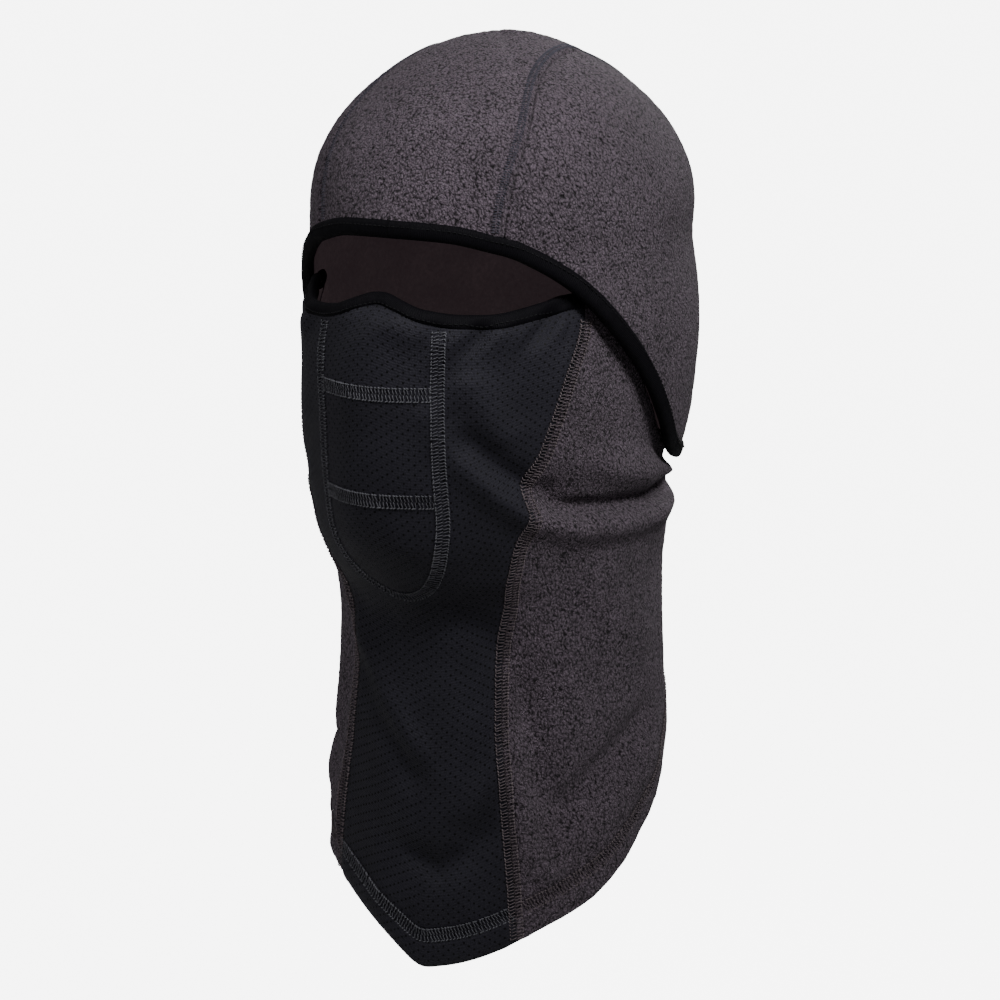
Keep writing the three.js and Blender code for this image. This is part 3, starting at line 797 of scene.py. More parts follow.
@dataclass(frozen=True)
class KnitFinish:
    """A smooth dense knit with fine courses.

    Attributes:
        colour: the cloth's colour.
        light: colour of the raised loops, partly the yarn's tone and partly painted highlight on their
            tops.
        course: the distance between courses in millimetres.
        sheen: weight of the soft edge light of its fibres.
        gloss: strength of the mirror-like part of its light.
    """

    colour: Colour
    light: Colour
    course: float = 0.62
    sheen: float = 0.02
    gloss: float = 0.16

    def build(self, name: str) -> Material:
        """Returns the material."""
        g = Graph(name)
        uv = g.uv()
        wale = g.scaled(uv, (1 / self.course, 0.5 / self.course, 1))
        loops = g.node(
            "TexVoronoi",
            {"Vector": wale, "Scale": 1.0, "Randomness": 0.35},
            voronoi_dimensions="2D",
        ).outputs["Distance"]
        cloud = g.noise(uv, 0.05, 3.0)
        grain = g.noise(uv, 1.1, 2.0)
        share = g.math("ADD", g.math("MULTIPLY", loops, 0.6), g.math("MULTIPLY", grain, 0.5))
        # partly painted light: the loops' tops take the lighter colour and the hollows between them the
        # darker
        thread = g.mix(share, self.light, self.colour)
        worn = g.math("ADD", g.math("MULTIPLY", cloud, 0.5), 0.75)
        shade = g.node("VectorMath", {0: thread, "Scale": worn}, operation="SCALE").outputs[0]
        height = g.math("SUBTRACT", 1.0, g.math("ADD", loops, g.math("MULTIPLY", grain, 0.6)))
        return g.finish(shade, 0.62, self.sheen, height, 0.3, self.gloss)


@dataclass(frozen=True)
class TapeFinish:
    """Stretch binding tape with fine ribs across it.

    Attributes:
        colour: the tape's colour.
        rib: the distance between ribs in millimetres.
        gloss: strength of the mirror-like part of its light.
    """

    colour: Colour
    rib: float = 0.8
    gloss: float = 0.1

    def build(self, name: str) -> Material:
        """Returns the material."""
        g = Graph(name)
        uv = g.uv()
        run = g.scaled(uv, (0.31 / self.rib, 0, 0))
        ribs = g.node("TexWave", {"Vector": run, "Scale": 1.0, "Distortion": 0.6}).outputs["Fac"]
        cloud = g.noise(uv, 0.12, 3.0)
        # partly painted highlight: the tops of the ribs take a lighter colour than the tape's own
        lift = tuple(c * 1.7 + 0.001 for c in self.colour)
        shade = g.mix(g.math("MULTIPLY", cloud, ribs), self.colour, lift)
        height = g.math("ADD", ribs, g.math("MULTIPLY", cloud, 1.6))
        return g.finish(shade, 0.7, 0.0, height, 0.12, self.gloss)


@dataclass(frozen=True)
class ThreadFinish:
    """Twisted sewing thread.

    Attributes:
        colour: the thread's colour.
        light: colour of the strands that catch the light.
    """

    colour: Colour
    light: Colour

    def build(self, name: str) -> Material:
        """Returns the material."""
        g = Graph(name)
        place = g.node("TexCoord").outputs["Object"]
        strand = g.noise(place, 2600.0, 2.0)
        patch = g.noise(place, 90.0, 2.0)
        shade = g.mix(g.math("MULTIPLY", strand, g.math("ADD", patch, 0.4)), self.colour, self.light)
        return g.finish(shade, 0.7, 0.0, strand, 0.08)


@dataclass(frozen=True)
class LiningFinish:
    """The brushed inner face of the cloth, which lies in shade and is lifted by a painted glow.

    Attributes:
        colour: the lining's colour.
        light: colour of the raised fibres, partly their own tone and partly painted highlight on the
            tufts.
        glow: the strength of the painted glow, light that it gives off in its own colour though it is
            no lamp.
    """

    colour: Colour
    light: Colour
    glow: float = 0.2

    def build(self, name: str) -> Material:
        """Returns the material."""
        g = Graph(name)
        place = g.node("TexCoord").outputs["Object"]
        tuft = g.noise(place, 520.0, 4.0)
        cloud = g.noise(place, 45.0, 2.0)
        shade = g.mix(g.math("MULTIPLY", tuft, cloud), self.colour, self.light)
        # painted light: the lining glows in its own colour so that its shaded inside stays lit
        g.put(g.shader.inputs["Emission Color"], shade)
        g.shader.inputs["Emission Strength"].default_value = self.glow
        return g.finish(shade, 0.95, 0.0, tuft, 0.4)


@dataclass(frozen=True)
class StudioFinish:
    """A plain pale paper sweep.

    Attributes:
        colour: the paper's colour.
        glow: how much brighter the paper looks to the camera alone.
    """

    colour: Colour
    glow: float = 7.0

    def build(self, name: str) -> Material:
        """Returns the material."""
        g = Graph(name)
        grain = g.noise(g.node("TexCoord").outputs["Object"], 3.0, 2.0)
        shade = g.mix(grain, self.colour, tuple(c * 0.985 for c in self.colour))
        seen = g.node("LightPath").outputs["Is Camera Ray"]
        g.put(g.shader.inputs["Emission Color"], shade)
        g.put(g.shader.inputs["Emission Strength"], g.math("MULTIPLY", seen, self.glow))
        return g.finish(shade, 0.9, 0.0, None, 0.0)


class Finishes:
    """Every material of the balaclava, built once."""

    def __init__(self) -> None:
        """Builds the materials."""
        # the fleece's gap colour is painted shade for the recesses of its nap
        grey_tip, grey_gap_shade = linear(112, 100, 111), linear(20, 17, 20)
        self.fleece = FleeceFinish(grey_tip, grey_gap_shade).build("grey fleece")
        self.mask = KnitFinish(linear(11, 10, 16), linear(50, 49, 58)).build("black mask knit")
        # painted shade: the perforations are dark discs standing for the shade seen through each hole
        self.hole = KnitFinish(linear(2, 2, 3), linear(4, 4, 5)).build("perforation shade")
        self.tape = TapeFinish(linear(5, 4, 8)).build("black stretch tape")
        grey = ThreadFinish(linear(52, 52, 57), linear(122, 122, 129))
        brown = ThreadFinish(linear(62, 55, 58), linear(134, 122, 126))
        blue = ThreadFinish(linear(58, 56, 65), linear(88, 86, 99))
        black = ThreadFinish(linear(6, 6, 8), linear(24, 24, 28))
        self.grey_thread = grey.build("grey thread")
        self.brown_thread = brown.build("brown grey thread")
        self.blue_thread = blue.build("blue grey thread")
        self.black_thread = black.build("black thread")
        # the lining carries a painted glow that lifts its shade
        self.lining = LiningFinish(linear(74, 62, 66), linear(104, 90, 94)).build("shaded lining")
        self.label = KnitFinish(linear(205, 203, 196), linear(230, 228, 222)).build("blank woven label")


# ---- meshes


def lengths(points: Array) -> Array:
    """Returns the distance travelled along rows of points."""
    steps = np.linalg.norm(np.diff(points, axis=0), axis=-1)
    return np.concatenate([np.zeros_like(steps[:1]), np.cumsum(steps, axis=0)])


def cloth_coordinates(grid: Array) -> Array:
    """Returns near-true distances along and across a grid of points, in millimetres.

    Args:
        grid: rows of points on the cloth.

    Returns:
        A pair of distances for each point.
    """
    across = lengths(np.swapaxes(grid, 0, 1)).T
    middle = across[:, across.shape[1] // 2][:, None]
    down = lengths(grid[:, grid.shape[1] // 2])[:, None]
    return np.stack([across - middle + 200, np.broadcast_to(down, across.shape)], -1)


def grid_area(grid: Array) -> float:
    """Returns the area of a grid of points in square metres."""
    a, b = np.diff(grid[:, :-1], axis=0), np.diff(grid[:-1], axis=1)
    return float(np.linalg.norm(np.cross(a, b), axis=-1).sum() * MM * MM)


def plain_object(name: str, data: bpy.types.ID) -> Object:
    """Returns an object in the scene, at the origin, for a mesh, a light or a camera."""
    made = bpy.data.objects.new(name, data)
    bpy.context.scene.collection.objects.link(made)
    return made


def mesh_from(
    name: str,
    points: Array,
    quads: Array,
    uv: Array | None,
    materials: Sequence[Material],
    slots: Array | None = None,
    rest: Array | None = None,
) -> Mesh:
    """Makes a smooth mesh of four-sided faces.

    Args:
        name: the mesh's name.
        points: vertices in millimetres.
        quads: rows of four vertex numbers.
        uv: a pair of cloth coordinates for each vertex.
        materials: the mesh's materials.
        slots: which material each face takes.
        rest: a place in the cloth for each vertex, which its finish is drawn by.

    Returns:
        The mesh, in metres.
    """
    mesh = bpy.data.meshes.new(name)
    mesh.vertices.add(len(points))
    mesh.vertices.foreach_set("co", (points * MM).astype(np.float32).ravel())
    mesh.loops.add(quads.size)
    mesh.loops.foreach_set("vertex_index", quads.astype(np.int32).ravel())
    mesh.polygons.add(len(quads))
    mesh.polygons.foreach_set("loop_start", np.arange(0, quads.size, 4, dtype=np.int32))
    for material in materials:
        mesh.materials.append(material)
    if slots is not None:
        mesh.polygons.foreach_set("material_index", slots.astype(np.int32))
    if uv is not None:
        layer = mesh.uv_layers.new(name="cloth")
        layer.data.foreach_set("uv", uv[quads.ravel()].astype(np.float32).ravel())
    if rest is not None:
        held = mesh.attributes.new("rest", "FLOAT_VECTOR", "POINT")
        held.data.foreach_set("vector", rest.astype(np.float32).ravel())
    mesh.update(calc_edges=True)
    mesh.validate()
    mesh.polygons.foreach_set("use_smooth", np.ones(len(mesh.polygons), bool))
    return mesh


def shell_quads(rows: int, columns: int) -> tuple[Array, Array]:
    """Lays the faces of a closed shell of two layers.

    Args:
        rows: how many rows of points each layer has.
        columns: how many points each row has.

    Returns:
        The faces, and which of the shell's materials each takes.
    """
    index = np.arange(rows * columns).reshape(rows, columns)
    low = index + rows * columns
    a, b, c, d = index[:-1, :-1], index[1:, :-1], index[1:, 1:], index[:-1, 1:]
    outer = np.stack([a, b, c, d], -1).reshape(-1, 4)
    inner = np.stack([a, d, c, b], -1).reshape(-1, 4) + rows * columns
    rims = [
        np.stack([index[0, :-1], index[0, 1:], low[0, 1:], low[0, :-1]], -1),
        np.stack([index[-1, 1:], index[-1, :-1], low[-1, :-1], low[-1, 1:]], -1),
        np.stack([index[1:, 0], index[:-1, 0], low[:-1, 0], low[1:, 0]], -1),
        np.stack([index[:-1, -1], index[1:, -1], low[1:, -1], low[:-1, -1]], -1),
    ]
    edge = np.concatenate(rims)
    slots = np.concatenate([np.zeros(len(outer)), np.ones(len(inner)), np.zeros(len(edge))])
    return np.concatenate([outer, inner, edge]), slots


class Edge(Enum):
    """How a panel ends along one of its sides."""

    TAPED = "under a folded tape"
    GROOVED = "sewn in a narrow groove"
    FLAT = "butted flat under a ladder of thread"
    TURNED = "turned up as a hem"


@dataclass
class Panel:
    """One cut of cloth, laid on a worn surface as a closed shell.

    Attributes:
        name: the piece's name.
        cloth: the surface that it lies on.
        places: a grid of places, in rows from its top to its bottom.
        thickness: the cloth's thickness in millimetres.
        edges: how it ends at its start, end, top and bottom.
        nap: height of the soft unevenness of its face, in millimetres.
        area: the cloth's area in square metres, once built.
        flat: its longest row and longest column in metres, once built.
        outer: the points of its outside, once built.
        uv: its cloth coordinates, once built.
    """

    name: str
    cloth: Cloth
    places: Places
    thickness: float
    edges: tuple[Edge, Edge, Edge, Edge]
    nap: float
    area: float = 0.0
    flat: tuple[float, float] = (0.0, 0.0)
    outer: Array = field(default=None, repr=False)
    uv: Array = field(default=None, repr=False)

    def border_distances(self, grid: Array) -> list[Array]:
        """Returns the distance of every point from the start, end, top and bottom."""
        across = lengths(np.swapaxes(grid, 0, 1)).T
        down = lengths(grid)
        return [across, across[:, -1:] - across, down, down[-1:] - down]

    def build(self, face: Material, back: Material) -> Object:
        """Makes the panel.

        Args:
            face: the material of its outside.
            back: the material of its inside.

        Returns:
            The panel's object.
        """
        base = self.cloth.point(self.places)
        normal = self.cloth.normal(self.places)
        self.area = grid_area(base)
        self.uv = cloth_coordinates(base)
        shape = self.uv.reshape(-1, 2)
        runs = np.swapaxes(base, 0, 1), base
        self.flat = tuple(float(lengths(run)[-1].max() * MM) for run in runs)
        outward, inward = np.zeros(base.shape[:2]), np.full(base.shape[:2], -self.thickness)
        for kind, far in zip(self.edges, self.border_distances(base)):
            out, into = self.ending(kind, far)
            outward += out
            inward += into
        u, v = self.uv[..., 0], self.uv[..., 1]
        rough = value_noise(u / 2.6, v / 2.2, 21) + 0.7 * value_noise(u / 1.4, v / 1.4, 22)
        outward += self.nap * rough
        self.outer = base + normal * outward[..., None]
        inner = base + normal * np.minimum(inward, outward - 0.05)[..., None]
        quads, slots = shell_quads(*base.shape[:2])
        points = np.concatenate([self.outer.reshape(-1, 3), inner.reshape(-1, 3)])
        uv = np.concatenate([shape, shape])
        rest = np.concatenate([base.reshape(-1, 3)] * 2)
        mesh = mesh_from(self.name, points, quads, uv, [face, back], slots, rest)
        return plain_object(self.name, mesh)

    @staticmethod
    def ending(kind: Edge, far: Array) -> tuple[Array, Array]:
        """Shapes the cloth beside one of its sides.

        Args:
            kind: how the cloth ends there.
            far: the distance of every point from that side.

        Returns:
            What the ending adds to the outside and to the inside of the cloth.
        """
        if kind is Edge.GROOVED:
            return 0.4 * np.exp(-(((far - 4) / 2.2) ** 2)) - 1.2 * np.exp(-((far / 0.8) ** 2)), 0 * far
        if kind is Edge.FLAT:
            return 0.3 * np.exp(-(((far - 6) / 2.5) ** 2)) - 0.35 * np.exp(-((far / 2.8) ** 2)), 0 * far
        if kind is Edge.TURNED:
            radius = 2.1
            near = np.clip(far / radius, 0, 1)
            roll = radius * (1 - np.sqrt(np.clip(1 - (1 - near) ** 2, 0, 1)))
            puff = 0.7 * np.exp(-(((far - 8) / 5) ** 4)) - 0.5 * np.exp(-(((far - 15.5) / 3) ** 2))
            double = -1.6 * smooth(17.5, 14.5, far)
            return puff - roll, double + roll
        return 0 * far, 0 * far


def even_rows(top: float, bottom: float, spacing: float, tail: Sequence[float] = ()) -> Array:
    """Returns shares of the way from top to bottom, closer together at the end.

    Args:
        top: where the rows start.
        bottom: where they end.
        spacing: the distance between rows.
        tail: distances from the end at which extra rows lie.

    Returns:
        Shares from 0 to 1.
    """
    run = abs(top - bottom)
    count = max(2, round(run / spacing))
    rows = np.linspace(0, 1, count + 1)
    if not len(tail):
        return rows
    keep = rows[rows < 1 - (max(tail) + spacing * 0.5) / run]
    return np.concatenate([keep, np.sort(1 - np.array(tail) / run), [1.0]])


@dataclass
class Tape:
    """A soft tape folded round an edge of cloth: a rounded band that hugs it.

    Attributes:
        name: the piece's name.
        cloth: the surface that the edge lies on.
        places: places along the fold, in order.
        width: how far the tape reaches over the cloth.
        swell: how far it stands off the cloth's faces.
        thickness: the cloth's thickness.
        into: 1 where the cloth lies to the left of the run as seen from outside, else -1.
        closed: whether the run joins its own start.
    """

    name: str
    cloth: Cloth
    places: Places
    width: float
    swell: float
    thickness: float
    into: int
    closed: bool

    def build(self, material: Material) -> Object:
        """Returns the tape's object."""
        points, normals, across = run_frames(self.cloth, self.places, self.closed)
        travelled = lengths(points)
        turn = np.linspace(0, 2 * math.pi, 23)[:-1]
        pucker = 0.16 * value_noise(travelled / 4.2, travelled * 0, 31)
        pucker += 0.22 * value_noise(travelled / 13, travelled * 0, 32)
        half_high = self.swell + self.thickness / 2 + pucker
        if not self.closed:
            far = np.minimum(travelled, travelled[-1] - travelled)
            half_high *= 0.35 + 0.65 * smooth(0, 9, far)
        half_wide = self.width / 2
        cosine, sine = np.cos(turn), np.sin(turn)
        flatten = 0.72
        along = np.sign(cosine) * np.abs(cosine) ** flatten * half_wide + half_wide
        out = np.sign(sine) * np.abs(sine) ** flatten
        inward = self.bent(points, across, along)
        offset = normals[:, None] * (out[None, :, None] * half_high[:, None, None])
        middle = normals[:, None] * (-self.thickness / 2)
        rings = inward + offset + middle
        return self.tube(rings, travelled, turn, material)

    def bent(self, points: Array, across: Array, along: Array) -> Array:
        """Finds where the tape lies over the cloth, following its curve.

        Args:
            points: points along the fold.
            across: directions square to the fold along the cloth.
            along: distances in from the fold.

        Returns:
            A row of points for each point of the fold.
        """
        reach = 0.5 * self.width
        places = beside(self.cloth, self.places, across * self.into, reach)
        middle = self.cloth.point(places)
        places = beside(self.cloth, self.places, across * self.into, self.width)
        last = self.cloth.point(places)
        share = (along / self.width)[None, :, None]
        first, half, end = points[:, None], middle[:, None], last[:, None]
        return (
            first * (2 * (share - 0.5) * (share - 1))
            + half * (-4 * share * (share - 1))
            + end * (2 * share * (share - 0.5))
        )

    def tube(
        self, rings: Array, travelled: Array, turn: Array, material: Material
    ) -> Object:
        """Makes an object from rings of points, closed on itself or at its ends.

        Args:
            rings: the points, ring by ring.
            travelled: the distance of each ring along the fold.
            turn: the angle of each point round its ring.
            material: the tape's material.

        Returns:
            The tape's object.
        """
        count, around = rings.shape[:2]
        index = np.arange(count * around).reshape(count, around)
        if self.closed:
            index = np.concatenate([index, index[:1]])
        a, b = index[:-1], index[1:]
        quads = np.stack([a, b, np.roll(b, -1, 1), np.roll(a, -1, 1)], -1).reshape(-1, 4)
        if self.into < 0:
            quads = quads[:, ::-1]
        points = rings.reshape(-1, 3)
        uv = np.stack([np.repeat(travelled, around), np.tile(turn / math.pi * self.width, count)], -1)
        if not self.closed:
            quads = np.concatenate([quads, self.ends(count, around)])
        return plain_object(self.name, mesh_from(self.name, points, quads, uv, [material]))

    def ends(self, count: int, around: int) -> Array:
        """Returns the faces that close an open tube's two ends, in strips across them.

        Args:
            count: how many rings the tube has.
            around: how many points each ring has.

        Returns:
            Rows of four vertex numbers.
        """
        strips = []
        for ring, turned in ((0, self.into > 0), ((count - 1) * around, self.into < 0)):
            for k in range(around // 2 - 1):
                face = [ring + k, ring + k + 1, ring + around - 2 - k, ring + around - 1 - k]
                strips.append(face if turned else face[::-1])
        return np.array(strips)


def run_frames(cloth: Cloth, places: Places, closed: bool) -> tuple[Array, Array, Array]:
    """Follows a run of places along the cloth.

    Args:
        cloth: the surface.
        places: the run.
        closed: whether it joins its own start.

    Returns:
        Its points, its outward normals and its directions across.
    """
    points = cloth.point(places)
    normals = cloth.normal(places)
    if closed:
        along = np.roll(points, -1, 0) - np.roll(points, 1, 0)
    else:
        along = np.gradient(points, axis=0)
    along /= np.linalg.norm(along, axis=-1, keepdims=True)
    across = np.cross(normals, along)
    across /= np.linalg.norm(across, axis=-1, keepdims=True)
    return points, normals, across


def beside(cloth: Cloth, places: Places, direction: Array, distance: float) -> Places:
    """Returns places that lie a distance away from others along the cloth.

    Args:
        cloth: the surface.
        places: the places to start from.
        direction: the directions to go in.
        distance: how far to go.

    Returns:
        The new places.
    """
    da, db = cloth.span[0] * 10, cloth.span[1] * 10
    one, two = np.array([da, 0]), np.array([0, db])
    along = (cloth.point(places + one) - cloth.point(places - one)) / (2 * da)
    up = (cloth.point(places + two) - cloth.point(places - two)) / (2 * db)
    aa, ab, bb = (along * along).sum(-1), (along * up).sum(-1), (up * up).sum(-1)
    pa, pb = (along * direction).sum(-1) * distance, (up * direction).sum(-1) * distance
    scale = aa * bb - ab * ab
    return places + np.stack([(pa * bb - pb * ab) / scale, (pb * aa - pa * ab) / scale], -1)


def evenly(cloth: Cloth, run: Callable[[Array], Places], spacing: float) -> Places:
    """Returns places spaced evenly along a run.

    Args:
        cloth: the surface that the run lies on.
        run: what gives a place for each value from 0 to 1.
        spacing: the distance wanted between places.

    Returns:
        The places.
    """
    fine = run(np.linspace(0, 1, 1200))
    travelled = lengths(cloth.form.base(fine))
    count = max(4, round(float(travelled[-1]) / spacing))
    wanted = np.linspace(0, travelled[-1], count + 1)
    return np.stack([np.interp(wanted, travelled, fine[:, k]) for k in (0, 1)], -1)


# ---- geometry nodes


class NodeTree:
    """A geometry node tree with named inputs, written in short."""

    def __init__(self, name: str, inputs: Sequence[tuple[str, str]]) -> None:
        """Makes a tree that takes and gives geometry.

        Args:
            name: the tree's name.
            inputs: pairs of an input's name and its kind of socket.
        """
        self.tree = bpy.data.node_groups.new(name, "GeometryNodeTree")
        face = self.tree.interface
        face.new_socket("Geometry", in_out="INPUT", socket_type="NodeSocketGeometry")
        self.keys = {}
        for title, kind in inputs:
            made = face.new_socket(title, in_out="INPUT", socket_type="NodeSocket" + kind)
            self.keys[title] = made.identifier
        face.new_socket("Geometry", in_out="OUTPUT", socket_type="NodeSocketGeometry")
        self.source = self.tree.nodes.new("NodeGroupInput")
        self.sink = self.tree.nodes.new("NodeGroupOutput")

    def add(self, kind: str, inputs: dict | None = None, **settings: object) -> Node:
        """Adds a node.

        Args:
            kind: the node's type.
            inputs: values or sockets by the input's name or number.
            settings: attributes set on the node itself.

        Returns:
            The node.
        """
        made = self.tree.nodes.new(kind)
        for name, value in settings.items():
            setattr(made, name, value)
        for name, value in (inputs or {}).items():
            if isinstance(value, Socket):
                self.tree.links.new(value, made.inputs[name])
            else:
                made.inputs[name].default_value = value
        return made

    def given(self, title: str) -> Socket:
        """Returns the socket of one of the tree's own inputs."""
        return self.source.outputs[title]

    def close(self, geometry: Socket) -> None:
        """Realizes the copies, sets their material and gives them out.

        Args:
            geometry: the copies.
        """
        real = self.add("GeometryNodeRealizeInstances", {0: geometry})
        dressed = self.add(
            "GeometryNodeSetMaterial", {"Geometry": real.outputs[0], "Material": self.given("Material")}
        )
        self.tree.links.new(dressed.outputs[0], self.sink.inputs[0])

    def apply(self, source: Object, name: str, values: dict[str, object]) -> Object:
        """Runs the tree on an object.

        Args:
            source: the object whose geometry goes in, which is removed afterwards.
            name: the name of the piece that comes out.
            values: the inputs' values by title.

        Returns:
            A plain mesh object with the tree's result.
        """
        modifier = source.modifiers.new("tree", "NODES")
        modifier.node_group = self.tree
        for title, value in values.items():
            modifier[self.keys[title]] = value
        bpy.context.view_layer.update()
        evaluated = source.evaluated_get(bpy.context.evaluated_depsgraph_get())
        mesh = bpy.data.meshes.new_from_object(evaluated)
        mesh.name = name
        bpy.data.objects.remove(source)
        return plain_object(name, mesh)


def thread_tree() -> NodeTree:
    """Returns the tree that sets a stitch at every pitch along a line on the cloth."""
    sizes = [("Pitch", "Float"), ("Wander", "Float"), ("Seed", "Int")]
    t = NodeTree("Thread along a seam", [("Stitch", "Object"), *sizes, ("Material", "Material")])
    line = t.add("GeometryNodeMeshToCurve", {"Mesh": t.given("Geometry")})
    spaced = {"Curve": line.outputs[0], "Length": t.given("Pitch")}
    points = t.add("GeometryNodeCurveToPoints", spaced, mode="LENGTH")
    stitch = t.add("GeometryNodeObjectInfo", {"Object": t.given("Stitch")})
    held = {"Name": "cloth_normal"}
    normal = t.add("GeometryNodeInputNamedAttribute", held, data_type="FLOAT_VECTOR")
    facing = t.add(
        "FunctionNodeAxesToRotation",
        {0: normal.outputs[0], 1: points.outputs["Tangent"]},
        primary_axis="Z",
        secondary_axis="X",
    )
    low = t.add("ShaderNodeMath", {0: t.given("Wander"), 1: -1.0}, operation="MULTIPLY")
    wander = t.add(
        "FunctionNodeRandomValue",
        {2: low.outputs[0], 3: t.given("Wander"), "Seed": t.given("Seed")},
        data_type="FLOAT",
    )
    twist = t.add("FunctionNodeAxisAngleToRotation", {"Axis": (0, 0, 1), "Angle": wander.outputs[1]})
    turned = t.add(
        "FunctionNodeRotateRotation",
        {0: facing.outputs[0], 1: twist.outputs[0]},
        rotation_space="LOCAL",
    )
    copies = t.add(
        "GeometryNodeInstanceOnPoints",
        {
            "Points": points.outputs[0],
            "Instance": stitch.outputs["Geometry"],
            "Rotation": turned.outputs[0],
        },
    )
    t.close(copies.outputs[0])
    return t


def perforation_tree() -> NodeTree:
    """Returns the tree that lays rows of small dark discs, painted shade for the holes, over a panel's
    coordinates.
    """
    sizes = [("Pitch", "Float"), ("Radius", "Float"), ("Rows", "Int"), ("Row share", "Float")]
    t = NodeTree("Perforations", [*sizes, ("Material", "Material")])
    side = t.add("ShaderNodeMath", {0: t.given("Pitch"), 1: t.given("Rows")}, operation="MULTIPLY")
    grid = t.add(
        "GeometryNodeMeshGrid",
        {0: side.outputs[0], 1: side.outputs[0], 2: t.given("Rows"), 3: t.given("Rows")},
    )
    place = t.add("GeometryNodeInputPosition")
    split = t.add("ShaderNodeSeparateXYZ", {0: place.outputs[0]})
    row = t.add("ShaderNodeMath", {0: split.outputs[1], 1: t.given("Pitch")}, operation="DIVIDE")
    whole = t.add("ShaderNodeMath", {0: row.outputs[0]}, operation="ROUND")
    odd = t.add("ShaderNodeMath", {0: whole.outputs[0], 1: 2.0}, operation="FLOORED_MODULO")
    half = t.add("ShaderNodeMath", {0: t.given("Pitch"), 1: 0.5}, operation="MULTIPLY")
    shift = t.add("ShaderNodeMath", {0: odd.outputs[0], 1: half.outputs[0]}, operation="MULTIPLY")
    across = t.add("ShaderNodeMath", {0: split.outputs[0], 1: shift.outputs[0]}, operation="ADD")
    up = t.add("ShaderNodeMath", {0: split.outputs[1], 1: t.given("Row share")}, operation="MULTIPLY")
    flat = t.add("ShaderNodeCombineXYZ", {0: across.outputs[0], 1: up.outputs[0]})
    wanted = t.add("ShaderNodeVectorMath", {0: flat.outputs[0], 1: (0.5, 0.5, 0.0)}, operation="ADD")
    cloth = t.add("GeometryNodeInputNamedAttribute", {"Name": "cloth"}, data_type="FLOAT_VECTOR")
    spot = t.add("GeometryNodeInputPosition")
    facing = t.add("GeometryNodeInputNormal")
    found = [
        t.add(
            "GeometryNodeSampleUVSurface",
            {
                "Mesh": t.given("Geometry"),
                "Value": value.outputs[0],
                "Source UV Map": cloth.outputs[0],
                "Sample UV": wanted.outputs[0],
            },
            data_type="FLOAT_VECTOR",
        )
        for value in (spot, facing)
    ]
    stored = t.add(
        "GeometryNodeStoreNamedAttribute",
        {"Geometry": grid.outputs[0], "Name": "facing", "Value": found[1].outputs[0]},
        data_type="FLOAT_VECTOR",
        domain="POINT",
    )
    valid = t.add(
        "GeometryNodeStoreNamedAttribute",
        {"Geometry": stored.outputs[0], "Name": "on_cloth", "Value": found[0].outputs[1]},
        data_type="BOOLEAN",
        domain="POINT",
    )
    moved = t.add("GeometryNodeSetPosition", {0: valid.outputs[0], "Position": found[0].outputs[0]})
    kept = t.add("GeometryNodeInputNamedAttribute", {"Name": "on_cloth"}, data_type="BOOLEAN")
    normal = t.add("GeometryNodeInputNamedAttribute", {"Name": "facing"}, data_type="FLOAT_VECTOR")
    turn = t.add("FunctionNodeAlignRotationToVector", {"Vector": normal.outputs[0]}, axis="Z")
    disc = t.add("GeometryNodeMeshCircle", {0: 7, 1: t.given("Radius")}, fill_type="NGON")
    copies = t.add(
        "GeometryNodeInstanceOnPoints",
        {
            "Points": moved.outputs[0],
            "Selection": kept.outputs[0],
            "Instance": disc.outputs[0],
            "Rotation": turn.outputs[0],
        },
    )
    t.close(copies.outputs[0])
    return t


# ---- stitches


def strand(path: Array, radius: float) -> tuple[Array, Array]:
    """Makes a thin closed tube of four sides along a path.

    Args:
        path: points along its middle.
        radius: half its thickness.

    Returns:
        Its points and its faces.
    """
    sides = 4
    along = np.gradient(path, axis=0)
    along /= np.linalg.norm(along, axis=-1, keepdims=True)
    helper = np.array([0.0, 0.0, 1.0]) if abs(along[0, 2]) < 0.9 else np.array([1.0, 0.0, 0.0])
    side = np.cross(along, helper)
    side /= np.linalg.norm(side, axis=-1, keepdims=True)
    up = np.cross(side, along)
    turn = np.linspace(0, 2 * math.pi, sides, endpoint=False) + math.pi / sides
    taper = np.ones(len(path))
    taper[[0, -1]] = 0.35
    ring = side[:, None] * np.cos(turn)[None, :, None] + up[:, None] * np.sin(turn)[None, :, None]
    points = path[:, None] + ring * radius * taper[:, None, None]
    index = np.arange(points.shape[0] * sides).reshape(-1, sides)
    a, b = index[:-1], index[1:]
    quads = np.stack([a, np.roll(a, -1, 1), np.roll(b, -1, 1), b], -1).reshape(-1, 4)
    ends = np.array([index[0][::-1], index[-1]])
    return points.reshape(-1, 3), np.concatenate([quads, ends])


def arc_path(start: Sequence[float], end: Sequence[float], rise: float, count: int) -> Array:
    """Returns a path between two points that rises in its middle and dives at its ends.

    Args:
        start: where it starts.
        end: where it ends.
        rise: how high its middle lies.
        count: how many points it has.

    Returns:
        The path's points.
    """
    t = np.linspace(0, 1, count)[:, None]
    path = np.array(start, float) * (1 - t) + np.array(end, float) * t
    path[:, 2] += rise * (1 - (2 * t[:, 0] - 1) ** 4)
    return path


class Stitch(Enum):
    """The kinds of stitch, each with its pitch in millimetres."""

    LADDER = 1.5
    BAND = 1.15
    TAPE = 2.3


